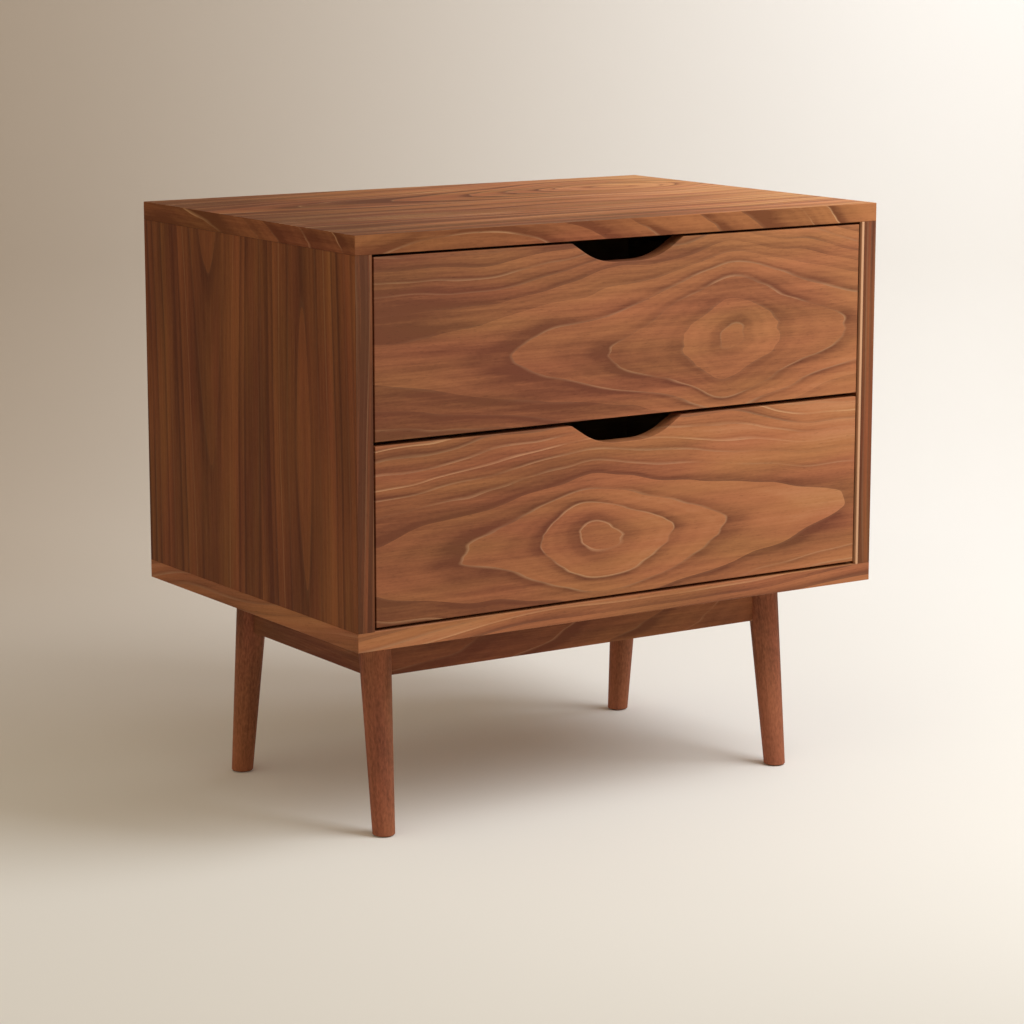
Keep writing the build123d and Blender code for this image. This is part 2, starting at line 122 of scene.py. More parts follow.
class NightstandSizes(bpy.types.PropertyGroup):
    """Details that the frame leaves open."""

    front_ease: length("Front edge easing", 0.6, "Rounding of the drawer front's edges")
    foot_ease: length("Foot easing", 1.2, "Rounding of the foot of a leg")
    thread_pitch: length("Screw pitch", 1.8, "Distance between the turns of a wood screw")
    bolt_pitch: length("Bolt pitch", 1.0, "Distance between the turns of a leg bolt")
    recess_width: length("Recess width", 0.9, "Width of an arm of the cross recess")
    bend_radius: length("Slide bend", 1.0, "Outer bend radius of the rolled slide members")
    leg_facets: IntProperty(name="Leg facets", description="Faces round a leg", default=96, min=24, max=256)


# ------------------------------------------------------------------ nodes
def add(tree, kind, inputs=(), operation=None, stops=(), **settings):
    """Adds a node with its settings, and sets or links its inputs, given in order or by their names."""
    node = tree.nodes.new(kind)
    if operation:
        node.operation = operation
    for name, value in settings.items():
        setattr(node, name, value)
    shown = [socket for socket in node.inputs if socket.enabled]
    for key, value in inputs.items() if isinstance(inputs, dict) else enumerate(inputs):
        socket = shown[key] if isinstance(key, int) else next(s for s in shown if s.name == key)
        if isinstance(value, bpy.types.Node):
            value = next(s for s in value.outputs if s.enabled)
        if isinstance(value, bpy.types.NodeSocket):
            tree.links.new(value, socket)
        else:
            socket.default_value = value
    if stops:
        while len(node.color_ramp.elements) < len(stops):
            node.color_ramp.elements.new(0.5)
        for element, (position, grey) in zip(node.color_ramp.elements, stops):
            element.position = position
            element.color = (grey, grey, grey, 1)
    return node


def new_group(name, kind, sockets, results):
    """An empty node group. An input is given by its default value or, if it has none, by its sort."""
    group = bpy.data.node_groups.new(name, kind)
    for label, value in sockets.items():
        named = isinstance(value, str)
        sort = value if named else {int: "Int", float: "Float"}.get(type(value), "Color")
        socket = group.interface.new_socket(label, in_out="INPUT", socket_type=f"NodeSocket{sort}")
        if not named:
            socket.default_value = value
    for label, sort in results.items():
        group.interface.new_socket(label, in_out="OUTPUT", socket_type=f"NodeSocket{sort}")
    return group


def walnut_figure():
    """Sliced walnut. The growth rings are the contour lines of a long low hill, so that lines run
    straight far from its top, close round it as an eye, and make pointed arches between the two.
    Place is in millimetres from the eye: x runs along the grain, and the slope input paints light
    and shade along it: the wood is painted paler along x, standing in for the light falling across
    the board. Ring Step is a ring's share of the hill near the eye, and Spacing its width far away.
    Another Seed gives another board."""
    name = "Walnut figure"
    if name in bpy.data.node_groups:
        return bpy.data.node_groups[name]
    tone = bpy.context.scene.nightstand_colours
    sockets = {
        "Place": "Vector", "Fibre Place": "Vector", "Seed": 0.0,
        "Eye Length": 45.0, "Reach": 1350.0, "Ring Step": 1400.0, "Core": 200.0, "Spacing": 5.5,
        "Uneven": 0.3, "Slope": 0.0, "Warp": 1.0, "Stretch": 1.0,
        "Contrast": 0.38, "Tone": 0.5, "Line": 0.55, "Stripes": 0.25, "Fleck": 0.14,
        "Light": tone.walnut_light, "Middle": tone.walnut_middle,
        "Dark": tone.walnut_dark, "Pale Line": tone.walnut_line,
    }
    results = {"Colour": "Color", "Roughness": "Float", "Height": "Float"}
    group = new_group(name, "ShaderNodeTree", sockets, results)
    given = add(group, "NodeGroupInput").outputs
    place = given["Place"]
    squeeze = add(group, MATH, (1.0, given["Stretch"]), "DIVIDE")
    squeeze = add(group, COMBINE, (squeeze, 1.0, 1.0))
    calm = add(group, VECTOR_MATH, (place, squeeze), "MULTIPLY")
    shift = add(group, VECTOR_MATH, ((731.0, 419.0, 613.0), given["Seed"]), "SCALE")
    calm = add(group, VECTOR_MATH, (calm, shift), "ADD")
    fibres = add(group, VECTOR_MATH, (given["Fibre Place"], shift), "ADD")

    def noise(along, across, detail, seed=0.0, kind="Fac", spot=fibres):
        """Noise with cells of these millimetres along and across the grain."""
        cells = (1 / along, 1 / across, 1 / across)
        scaled = add(group, VECTOR_MATH, (spot, cells, (seed, seed, seed)), "MULTIPLY_ADD")
        made = add(group, "ShaderNodeTexNoise", {"Vector": scaled, "Scale": 1.0, "Detail": detail})
        return made.outputs[kind]

    # the hill's shape, bent by slow swells, small waves and ragged tips
    swell = noise(150, 80, 1.0, 3.1, "Color", calm)
    wave = noise(75, 28, 1.0, 7.7, "Color", calm)
    ragged = noise(240, 11, 1.0, 1.9, "Fac", calm)
    swell_size = add(group, VECTOR_MATH, ((80.0, 34.0, 34.0), given["Warp"]), "SCALE")
    half = add(group, VECTOR_MATH, (swell_size, 0.5), "SCALE")
    moved = add(group, VECTOR_MATH, (swell, swell_size, place), "MULTIPLY_ADD")
    moved = add(group, VECTOR_MATH, (moved, half), "SUBTRACT")
    wave_size = add(group, VECTOR_MATH, ((8.0, 8.0, 8.0), given["Warp"]), "SCALE")
    half = add(group, VECTOR_MATH, (wave_size, 0.5), "SCALE")
    moved = add(group, VECTOR_MATH, (wave, wave_size, moved), "MULTIPLY_ADD")
    moved = add(group, VECTOR_MATH, (moved, half), "SUBTRACT")
    tips = add(group, COMBINE, {"X": ragged})
    moved = add(group, VECTOR_MATH, (tips, (14.0, 0.0, 0.0), moved), "MULTIPLY_ADD")
    moved = add(group, VECTOR_MATH, (moved, (7.0, 0.0, 0.0)), "SUBTRACT")

    flat = add(group, VECTOR_MATH, (moved, (0.0, 1.0, 1.0)), "MULTIPLY")
    across = add(group, VECTOR_MATH, (flat, flat), "DOT_PRODUCT").outputs["Value"]
    lengthwise = add(group, "ShaderNodeSeparateXYZ", (moved,))
    along = add(group, MATH, (lengthwise, given["Eye Length"]), "DIVIDE")
    along = add(group, MATH, (along, along, 1.0), "MULTIPLY_ADD")
    along = add(group, MATH, (along, 2.71828), "LOGARITHM")
    hill = add(group, MATH, (along, given["Reach"], across), "MULTIPLY_ADD")

    # ring number: even steps of the hill near the eye, even spacing far from it
    bend = add(group, MATH, (given["Ring Step"], given["Spacing"]), "DIVIDE")
    bend = add(group, MATH, (bend, 0.5), "MULTIPLY")
    reach = add(group, MATH, (bend, bend, hill), "MULTIPLY_ADD")
    reach = add(group, MATH, (reach,), "SQRT")
    rings = add(group, MATH, (reach, bend), "SUBTRACT")
    rings = add(group, MATH, (rings, given["Spacing"]), "DIVIDE")
    core = add(group, MATH, (given["Core"], given["Ring Step"]), "DIVIDE")
    rings = add(group, MATH, (rings, core), "SUBTRACT")
    seeded = add(group, MATH, (given["Seed"], 57.0, rings), "MULTIPLY_ADD")
    uneven = add(group, "ShaderNodeTexNoise", {"W": seeded, "Scale": 0.6, "Detail": 1.0},
                 noise_dimensions="1D")
    uneven = add(group, MATH, (uneven, 0.5), "SUBTRACT")
    rings = add(group, MATH, (uneven, given["Uneven"], rings), "MULTIPLY_ADD")
    share = add(group, MATH, (rings,), "FRACT")
    number = add(group, MATH, (rings,), "FLOOR")
    number = add(group, MATH, (given["Seed"], 57.0, number), "MULTIPLY_ADD")
    chance = add(group, "ShaderNodeTexWhiteNoise", {"W": number}, noise_dimensions="1D")
    chance_again = add(group, MATH, (number, 37.7), "ADD")
    chance_again = add(group, "ShaderNodeTexWhiteNoise", {"W": chance_again}, noise_dimensions="1D")

    # the hill's slope gives the ring's width, and so the millimetres from its inner edge
    base = add(group, MATH, (given["Eye Length"], given["Eye Length"]), "MULTIPLY")
    base = add(group, MATH, (lengthwise, lengthwise, base), "MULTIPLY_ADD")
    lean = add(group, MATH, (lengthwise, base), "DIVIDE")
    lean = add(group, MATH, (lean, given["Reach"]), "MULTIPLY")
    steep = add(group, MATH, (lean, lean, across), "MULTIPLY_ADD")
    steep = add(group, MATH, (steep, 40.0), "ADD")
    steep = add(group, MATH, (steep,), "SQRT")
    wide = add(group, MATH, (reach, steep), "DIVIDE")
    wide = add(group, MATH, (wide, given["Spacing"]), "MULTIPLY")
    gap = add(group, MATH, (share, wide), "MULTIPLY")
    line = add(group, MAP_RANGE, (gap, 0.3, 2.4, 1.0, 0.0))
    line = add(group, MATH, (line, given["Line"]), "MULTIPLY")
    line = add(group, MATH, (line, chance_again), "MULTIPLY")
    patchy = noise(70, 26, 1.0, 3.9, "Fac", calm)
    patchy = add(group, MAP_RANGE, (patchy, 0.36, 0.6, 0.2, 1.3))
    line = add(group, MATH, (line, patchy), "MULTIPLY")

    # late wood: dark just outside the line, fading outwards, strong on some rings only
    fade = add(group, "ShaderNodeValToRGB", {"Fac": share},
               stops=[(0.0, 1.0), (0.10, 0.82), (0.32, 0.36), (0.65, 0.10), (1.0, 0.0)])
    force = add(group, MATH, (chance, 0.8, 0.4), "MULTIPLY_ADD")
    force = add(group, MATH, (force, given["Contrast"]), "MULTIPLY")
    late = add(group, MATH, (fade, force), "MULTIPLY")
    varied = add(group, MATH, (patchy, 0.6, 0.5), "MULTIPLY_ADD")
    late = add(group, MATH, (late, varied), "MULTIPLY")

    ripple = add(group, MATH, (rings, 6 * pi), "MULTIPLY")
    ripple = add(group, MATH, (ripple,), "SINE")

    fibre = noise(42, 1.5, 3.0, 5.3)
    streak = noise(320, 7.0, 2.0, 9.1)
    shade = noise(230, 60, 1.0, 2.2)
    pore = noise(7, 0.9, 1.0, 8.4)
    speck = noise(5, 1.8, 2.0, 4.6)
    # painted light and shade: the slope input raises the tone along x, so the board is painted paler towards
    # one end
    sideways = add(group, "ShaderNodeSeparateXYZ", (place,))
    tone_sum = add(group, MATH, (sideways, given["Slope"], given["Tone"]), "MULTIPLY_ADD")
    tone_sum = add(group, MATH, (tone_sum, late), "SUBTRACT")
    spread = add(group, MATH, (chance_again, 0.5), "SUBTRACT")
    tone_sum = add(group, MATH, (spread, given["Stripes"], tone_sum), "MULTIPLY_ADD")
    tone_sum = add(group, MATH, (ripple, 0.024, tone_sum), "MULTIPLY_ADD")
    for source, weight in ((fibre, 0.26), (speck, given["Fleck"]), (streak, 0.42), (shade, 0.60)):
        level = add(group, MATH, (source, 0.5), "SUBTRACT")
        tone_sum = add(group, MATH, (level, weight, tone_sum), "MULTIPLY_ADD")
    lower = add(group, MATH, (tone_sum, 2.0), "MULTIPLY", use_clamp=True)
    upper = add(group, MATH, (tone_sum, 2.0, -1.0), "MULTIPLY_ADD", use_clamp=True)
    wood = add(group, MIX, (lower, given["Dark"], given["Middle"]), data_type="RGBA")
    wood = add(group, MIX, (upper, wood, given["Light"]), data_type="RGBA")
    wood = add(group, MIX, (line, wood, given["Pale Line"]), data_type="RGBA")

    # the hue drifts between reddish and olive; open pores are short dark dashes
    drift = noise(180, 30, 1.0, 6.6)
    hue = add(group, MAP_RANGE, (drift, 0.3, 0.7, 0.495, 0.506))
    wood = add(group, "ShaderNodeHueSaturation", {"Hue": hue, "Color": wood})
    pit = add(group, MAP_RANGE, (pore, 0.62, 0.76, 1.0, 0.80))
    wood = add(group, "ShaderNodeHueSaturation", {"Value": pit, "Color": wood})

    rough = add(group, MAP_RANGE, (fibre, 0.3, 0.7, 0.64, 0.54))
    height = add(group, MATH, (pit, fibre), "ADD")
    add(group, "NodeGroupOutput", {"Colour": wood, "Roughness": rough, "Height": height})
    return group


def grain(centre, along, across, turn=0):
    """Where a figure lies: its eye in millimetres, the way its grain runs, and the way across it.
    Turn tips the grain in degrees towards the across direction."""
    x, y = Vector(along), Vector(across)
    angle = radians(turn)
    x, y = x * cos(angle) + y * sin(angle), y * cos(angle) - x * sin(angle)
    turned = Matrix((x, y, x.cross(y))).transposed().to_euler()
    return {"Location": Vector(centre) * MM, "Rotation": turned, "Scale": (MM, MM, MM)}


def new_material(name):
    """A material with an empty tree."""
    material = bpy.data.materials.new(name)
    material.use_nodes = True
    material.node_tree.nodes.clear()
    return material, material.node_tree


def facing(axis):
    """A mask that is 1 where the surface looks along this axis, either way."""

    def mask(tree):
        normal = add(tree, "ShaderNodeTexCoord").outputs["Normal"]
        lined_up = add(tree, VECTOR_MATH, (normal, axis), "DOT_PRODUCT")
        size = add(tree, MATH, (lined_up,), "ABSOLUTE")
        return add(tree, MATH, (size, 0.7), "GREATER_THAN")

    return mask


def past(axis, limit):
    """A mask that is 1 beyond a limit in millimetres along this axis."""

    def mask(tree):
        spot = add(tree, "ShaderNodeTexCoord").outputs["Object"]
        reach = add(tree, VECTOR_MATH, (spot, axis), "DOT_PRODUCT")
        return add(tree, MATH, (reach, limit * MM), "GREATER_THAN")

    return mask


def walnut(name, layers, source=None, painted_highlight=None, gloss=0.18):
    """Oiled walnut: satin, with fine open pores. Each layer is the mask of its faces, where its
    figure lies, and the figure's own values. The first one covers every face. A layer's fibres run
    along its figure unless it says where they lie. Source names an attribute that holds the place."""
    material, tree = new_material(name)
    shown = None
    for mask, place, values in layers:
        if source:
            spot = add(tree, "ShaderNodeAttribute", attribute_name=source).outputs["Vector"]
        else:
            spot = add(tree, "ShaderNodeTexCoord").outputs["Object"]
        mapped = add(tree, "ShaderNodeMapping", {"Vector": spot, **place}, vector_type="TEXTURE")
        figure = tree.nodes.new("ShaderNodeGroup")
        figure.node_tree = walnut_figure()
        tree.links.new(mapped.outputs[0], figure.inputs["Place"])
        values = dict(values)
        fibre = values.pop("fibre", None)
        if fibre:
            mapped = add(tree, "ShaderNodeMapping", {"Vector": spot, **fibre}, vector_type="TEXTURE")
        tree.links.new(mapped.outputs[0], figure.inputs["Fibre Place"])
        for key, value in values.items():
            figure.inputs[key].default_value = value
        now = [figure.outputs[key] for key in ("Colour", "Roughness", "Height")]
        if shown:
            share = mask(tree)
            now = [
                add(tree, MIX, (share, old, new), data_type=kind)
                for old, new, kind in zip(shown, now, ("RGBA", "FLOAT", "FLOAT"))
            ]
        shown = now
    # a painted highlight strip, where one is given, is mixed into the colour
    if painted_highlight:
        shown[0] = painted_highlight(tree, shown[0])
    bump = add(tree, "ShaderNodeBump", {"Height": shown[2], "Strength": 0.25, "Distance": 0.1 * MM})
    shader = add(tree, "ShaderNodeBsdfPrincipled",
                 {"Base Color": shown[0], "Roughness": shown[1], "Normal": bump, "IOR": 1.45,
                  "Specular IOR Level": gloss})
    add(tree, "ShaderNodeOutputMaterial", {"Surface": shader})
    return material


def plain_wood(name, light, dark, along, layer_axis=None, core=None, layer=1.4):
    """Pale close-grained wood, birch or beech: almost even, with faint long fibres and small flecks.
    With layer_axis it is plywood, whose cross layers show as stripes on its edges."""
    material, tree = new_material(name)
    spot = add(tree, "ShaderNodeTexCoord").outputs["Object"]
    fine = Vector((1 / (1.2 * MM),) * 3)
    fine[along] = 1 / (45 * MM)
    broad = Vector((1 / (30 * MM),) * 3)
    broad[along] = 1 / (260 * MM)
    fleck = Vector((1 / (0.9 * MM),) * 3)
    fleck[along] = 1 / (3.5 * MM)
    tones = []
    for cells, detail in ((fine, 3.0), (broad, 2.0), (fleck, 0.0)):
        scaled = add(tree, VECTOR_MATH, (spot, cells), "MULTIPLY")
        tones.append(add(tree, "ShaderNodeTexNoise", {"Vector": scaled, "Scale": 1.0, "Detail": detail}))
    both = add(tree, MATH, (tones[0], tones[1]), "ADD")
    factor = add(tree, MAP_RANGE, (both, 0.7, 1.35))
    wood = add(tree, MIX, (factor, dark, light), data_type="RGBA")
    speck = add(tree, MAP_RANGE, (tones[2], 0.66, 0.76, 1.0, 0.86))
    wood = add(tree, "ShaderNodeHueSaturation", {"Value": speck, "Color": wood})
    if layer_axis is not None:
        parts = add(tree, "ShaderNodeSeparateXYZ", (spot,)).outputs
        count = add(tree, MATH, (parts[layer_axis], 2 * layer * MM), "DIVIDE")
        cross = add(tree, MATH, (count,), "FRACT")
        cross = add(tree, MATH, (cross, 0.5), "GREATER_THAN")
        face = facing([ALONG_X, ALONG_Y, ALONG_Z][layer_axis])(tree)
        edge = add(tree, MATH, (1.0, face), "SUBTRACT")
        cross = add(tree, MATH, (cross, edge), "MULTIPLY")
        wood = add(tree, MIX, (cross, wood, core), data_type="RGBA")
    rough = add(tree, MAP_RANGE, {"Value": tones[0], "To Min": 0.62, "To Max": 0.5})
    bump = add(tree, "ShaderNodeBump", {"Height": both, "Strength": 0.2, "Distance": 0.08 * MM})
    shader = add(tree, "ShaderNodeBsdfPrincipled",
                 {"Base Color": wood, "Roughness": rough, "Normal": bump, "IOR": 1.5})
    add(tree, "ShaderNodeOutputMaterial", {"Surface": shader})
    return material


def metal(name, base, roughness, cells):
    """Metal whose plating or polish varies a little, in cells of these millimetres."""
    material, tree = new_material(name)
    spot = add(tree, "ShaderNodeTexCoord").outputs["Object"]
    scaled = add(tree, VECTOR_MATH, (spot, [1 / (c * MM) for c in cells]), "MULTIPLY")
    cloud = add(tree, "ShaderNodeTexNoise", {"Vector": scaled, "Scale": 1.0, "Detail": 3.0})
    tint = add(tree, MIX, (cloud, [c * 0.72 for c in base[:3]] + [1], base), data_type="RGBA")
    rough = add(tree, MAP_RANGE, (cloud, 0.3, 0.7, roughness * 0.75, roughness * 1.3))
    bump = add(tree, "ShaderNodeBump", {"Height": cloud, "Strength": 0.1, "Distance": 0.03 * MM})
    shader = add(tree, "ShaderNodeBsdfPrincipled",
                 {"Base Color": tint, "Metallic": 1.0, "Roughness": rough, "Normal": bump})
    add(tree, "ShaderNodeOutputMaterial", {"Surface": shader})
    return material


def nylon(name, base):
    """Moulded nylon: matt and faintly mottled."""
    material, tree = new_material(name)
    spot = add(tree, "ShaderNodeTexCoord").outputs["Object"]
    mottle = add(tree, "ShaderNodeTexNoise", {"Vector": spot, "Scale": 1 / (2.5 * MM), "Detail": 3.0})
    tint = add(tree, MIX, (mottle, [c * 0.7 for c in base[:3]] + [1], base), data_type="RGBA")
    bump = add(tree, "ShaderNodeBump", {"Height": mottle, "Strength": 0.3, "Distance": 0.05 * MM})
    shader = add(tree, "ShaderNodeBsdfPrincipled",
                 {"Base Color": tint, "Roughness": 0.6, "Normal": bump, "IOR": 1.53})
    add(tree, "ShaderNodeOutputMaterial", {"Surface": shader})
    return material


# ------------------------------------------------------------------ meshes
def solids(node):
    """The box of every separate solid in a CAD node: lowest and highest corner."""
    grid = bmesh.new()
    grid.from_mesh(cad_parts[node].data)
    bmesh.ops.remove_doubles(grid, verts=grid.verts, dist=0.01 * MM)
    left = set(grid.verts)
    found = []
    while left:
        island = {left.pop()}
        edge = list(island)
        while edge:
            near = {e.other_vert(v) for v in edge for e in v.link_edges} - island
            island |= near
            edge = list(near)
        left -= island
        low = Vector([min(v.co[i] for v in island) for i in range(3)])
        high = Vector([max(v.co[i] for v in island) for i in range(3)])
        found.append((low, high))
    grid.free()
    return sorted(found, key=lambda box: tuple(round(c, 5) for c in box[0]))


def rounded_outline(corners, steps=8):
    """A closed outline through corners of (x, y, radius), each one rounded."""
    points = []
    for i, (x, y, radius) in enumerate(corners):
        corner = Vector((x, y))
        before = Vector(corners[i - 1][:2]) - corner
        after = Vector(corners[(i + 1) % len(corners)][:2]) - corner
        if radius <= 0:
            points.append(corner)
            continue
        before.normalize()
        after.normalize()
        half = before.angle(after) / 2
        start = corner + before * radius / tan(half)
        end = corner + after * radius / tan(half)
        middle = corner + (before + after).normalized() * radius / sin(half)
        first = start - middle
        sweep = first.angle_signed(end - middle)
        for k in range(steps + 1):
            turned = first.copy()
            turned.rotate(Matrix.Rotation(-sweep * k / steps, 2))
            points.append(middle + turned)
    return points


def prism(outline, to_place, depth):
    """A solid with this outline. to_place turns (x, y, depth) into a point of the frame."""
    grid = bmesh.new()
    rings = [[grid.verts.new(to_place(p.x, p.y, d)) for p in outline] for d in (0, depth)]
    grid.faces.new(rings[0])
    grid.faces.new(list(reversed(rings[1])))
    for i in range(len(outline)):
        j = (i + 1) % len(outline)
        grid.faces.new((rings[0][j], rings[0][i], rings[1][i], rings[1][j]))
    bmesh.ops.recalc_face_normals(grid, faces=grid.faces)
    return grid


def lathe(grid, profile, centre, axis=(0, 0, 1), facets=48):
    """Adds a turned shape: profile holds (radius, height) pairs from one pole to the other."""
    turn = Vector(axis).to_track_quat("Z", "Y").to_matrix()
    rings = []
    for radius, height in profile:
        count = 1 if radius == 0 else facets
        ring = []
        for k in range(count):
            angle = 2 * pi * k / facets
            spot = Vector((radius * cos(angle), radius * sin(angle), height))
            ring.append(grid.verts.new(Vector(centre) + turn @ spot))
        rings.append(ring)
    for low, high in zip(rings, rings[1:]):
        for k in range(facets):
            a = low[k % len(low)]
            b = low[(k + 1) % len(low)]
            c = high[(k + 1) % len(high)]
            d = high[k % len(high)]
            grid.faces.new([v for i, v in enumerate((a, b, c, d)) if v not in (a, b, c, d)[:i]])


def linked(name, data):
    """A new object in the scene."""
    made = bpy.data.objects.new(name, data)
    bpy.context.scene.collection.objects.link(made)
    return made


def to_object(grid, name):
    """Turns a bmesh into a linked object."""
    mesh = bpy.data.meshes.new(name)
    grid.to_mesh(mesh)
    grid.free()
    return linked(name, mesh)


def smooth(piece, sharp):
    """Shades a piece smooth, and keeps the edges that turn by more than this many degrees."""
    piece.data.shade_smooth()
    piece.data.set_sharp_from_angle(angle=radians(sharp))


def baked(piece):
    """Replaces a piece's mesh by its evaluated one and drops its modifiers."""
    bpy.context.view_layer.update()
    graph = bpy.context.evaluated_depsgraph_get()
    mesh = bpy.data.meshes.new_from_object(piece.evaluated_get(graph), depsgraph=graph)
    old = piece.data
    piece.modifiers.clear()
    piece.data = mesh
    bpy.data.meshes.remove(old)
    mesh.name = piece.name
    return piece


def ease(piece, width):
    """Rounds a piece's sharp edges and keeps its flat faces flat."""
    bevel = piece.modifiers.new("Ease", "BEVEL")
    bevel.width = width
    bevel.segments = 3
    bevel.limit_method = "ANGLE"
    bevel.angle_limit = radians(40)
    bevel.harden_normals = True
    piece.data.shade_smooth()
    return baked(piece)


def settle(piece, body, slot, material, *nodes):
    """Gives a finished piece its finish, its body, and the nodes it stands for, which it hides. The slot
    argument is not used.
    """
    if material:
        piece.data.materials.clear()
        piece.data.materials.append(material)
    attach(piece, body)
    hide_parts(*nodes)


def paint(node, material):
    """Gives a CAD node a better finish. Its shape stays."""
    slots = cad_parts[node].data.materials
    slots.clear()
    slots.append(material)


def seats_of(name, seats):
    """Loose points that carry the direction a screw's head looks to."""
    mesh = bpy.data.meshes.new(name)
    mesh.from_pydata([seat for seat, out in seats], [], [])
    axis = mesh.attributes.new("axis", "FLOAT_VECTOR", "POINT")
    axis.data.foreach_set("vector", [c for seat, out in seats for c in out])
    return linked(name, mesh)


def grow(piece, tree, values, sharp=35):
    """Runs a Geometry Nodes tree on a piece with these named inputs, and keeps the plain mesh."""
    modifier = piece.modifiers.new(tree.name, "NODES")
    modifier.node_group = tree
    sockets = {s.name: s.identifier for s in tree.interface.items_tree
               if s.item_type == "SOCKET" and s.in_out == "INPUT"}
    for name, value in values.items():
        modifier[sockets[name]] = value
    smooth(baked(piece), sharp)
    return piece


# ------------------------------------------------------------------ Geometry Nodes
def placed_by_axis(tree, shape, seats, finish):
    """Puts a shape on every seat, turned to the seat's axis, and gives it its finish."""
    axis = add(tree, "GeometryNodeInputNamedAttribute", {"Name": "axis"}, data_type="FLOAT_VECTOR")
    turn = add(tree, "FunctionNodeAlignRotationToVector", {"Vector": axis}, axis="Z")
    spin = add(tree, "FunctionNodeRandomValue", {"Min": 0.0, "Max": pi, "Seed": 7}, data_type="FLOAT")
    spin = add(tree, "FunctionNodeAxisAngleToRotation", {"Axis": (0, 0, 1), "Angle": spin})
    turn = add(tree, "FunctionNodeRotateRotation", (turn, spin), rotation_space="LOCAL")
    copies = add(tree, "GeometryNodeInstanceOnPoints",
                 {"Points": seats, "Instance": shape, "Rotation": turn})
    real = add(tree, "GeometryNodeRealizeInstances", (copies,))
    done = add(tree, "GeometryNodeSetMaterial", {"Geometry": real, "Material": finish})
    add(tree, "NodeGroupOutput", (done,))


def helix(tree, radius, bottom, rise, pitch, depth):
    """A thread: a thin three-sided rib that winds up a shank."""
    turns = add(tree, MATH, (rise, pitch), "DIVIDE")
    line = add(tree, "GeometryNodeCurveSpiral",
               {"Resolution": 14, "Rotations": turns, "Start Radius": radius, "End Radius": radius,
                "Height": rise})
    profile = add(tree, "GeometryNodeCurvePrimitiveCircle", {"Resolution": 3, "Radius": depth})
    rib = add(tree, "GeometryNodeCurveToMesh", {"Curve": line, "Profile Curve": profile, "Fill Caps": True})
    lift = add(tree, COMBINE, {"Z": bottom})
    return add(tree, "GeometryNodeTransform", {"Geometry": rib, "Translation": lift})


def screw_tree():
    """Pan head wood screws with a cross recess, one at each point, heads along the point's axis."""
    name = "Pan head screws"
    if name in bpy.data.node_groups:
        return bpy.data.node_groups[name]
    tree = new_group(name, "GeometryNodeTree", {
        "Seats": "Geometry", "Head Radius": 0.0034, "Head Height": 0.0016, "Shank Radius": 0.002,
        "Shank Length": 0.012, "Recess Width": 0.0009, "Pitch": 0.0018, "Finish": "Material",
    }, {"Screws": "Geometry"})
    given = add(tree, "NodeGroupInput").outputs

    # head: a ball squared up to a pan shape and flattened below the seat
    ball = add(tree, "GeometryNodeMeshUVSphere", {"Segments": 32, "Rings": 16, "Radius": 1.0})
    spot = add(tree, "GeometryNodeInputPosition")
    parts = add(tree, "ShaderNodeSeparateXYZ", (spot,)).outputs
    flat = add(tree, VECTOR_MATH, (spot, (1, 1, 0)), "MULTIPLY")
    out = add(tree, VECTOR_MATH, (flat,), "LENGTH").outputs["Value"]
    out = add(tree, MATH, (out, 0.001), "MAXIMUM")
    squared = add(tree, MATH, (out, -0.4), "POWER")
    wide = add(tree, MATH, (squared, given["Head Radius"]), "MULTIPLY")
    disc = add(tree, VECTOR_MATH, (flat, wide), "SCALE")
    up = add(tree, MATH, (parts["Z"], 0.0), "MAXIMUM")
    up = add(tree, MATH, (up, 0.6), "POWER")
    up = add(tree, MATH, (up, given["Head Height"]), "MULTIPLY")
    up = add(tree, COMBINE, {"Z": up})
    place = add(tree, VECTOR_MATH, (disc, up), "ADD")
    head = add(tree, "GeometryNodeSetPosition", {"Geometry": ball, "Position": place})

    # cross recess, half as deep as the head
    arms = []
    for swap in (False, True):
        long = given["Head Radius"]
        narrow = given["Recess Width"]
        size = add(tree, COMBINE,
                   (narrow if swap else long, long if swap else narrow, given["Head Height"]))
        arm = add(tree, "GeometryNodeMeshCube", {"Size": size})
        lift = add(tree, COMBINE, {"Z": given["Head Height"]})
        arms.append(add(tree, "GeometryNodeTransform", {"Geometry": arm, "Translation": lift}))
    cut = add(tree, "GeometryNodeMeshBoolean", {"Mesh 1": head}, "DIFFERENCE", solver="EXACT")
    for arm in arms:
        tree.links.new(arm.outputs[0], cut.inputs["Mesh 2"])

    # shank with a core, a thread and a point
    core = add(tree, MATH, (given["Shank Radius"], 0.74), "MULTIPLY")
    tip = add(tree, MATH, (given["Shank Radius"], 2.0), "MULTIPLY")
    body = add(tree, MATH, (given["Shank Length"], tip), "SUBTRACT")
    rod = add(tree, "GeometryNodeMeshCylinder", {"Vertices": 16, "Radius": core, "Depth": body})
    down = add(tree, MATH, (body, -0.5), "MULTIPLY")
    down = add(tree, COMBINE, {"Z": down})
    rod = add(tree, "GeometryNodeTransform", {"Geometry": rod, "Translation": down})
    point = add(tree, "GeometryNodeMeshCone",
                {"Vertices": 16, "Radius Top": core, "Radius Bottom": 0.0, "Depth": tip})
    low = add(tree, MATH, (given["Shank Length"], -1.0), "MULTIPLY")
    at_tip = add(tree, COMBINE, {"Z": low})
    point = add(tree, "GeometryNodeTransform", {"Geometry": point, "Translation": at_tip})
    rib_depth = add(tree, MATH, (given["Shank Radius"], 0.2), "MULTIPLY")
    rib_path = add(tree, MATH, (given["Shank Radius"], 0.8), "MULTIPLY")
    rib_start = add(tree, MATH, (body, -1.0), "MULTIPLY")
    rib_rise = add(tree, MATH, (body, 0.85), "MULTIPLY")
    rib = helix(tree, rib_path, rib_start, rib_rise, given["Pitch"], rib_depth)
    whole = add(tree, "GeometryNodeJoinGeometry")
    for part in (cut, rod, point, rib):
        tree.links.new(part.outputs[0], whole.inputs[0])
    placed_by_axis(tree, whole, given["Seats"], given["Finish"])
    return tree


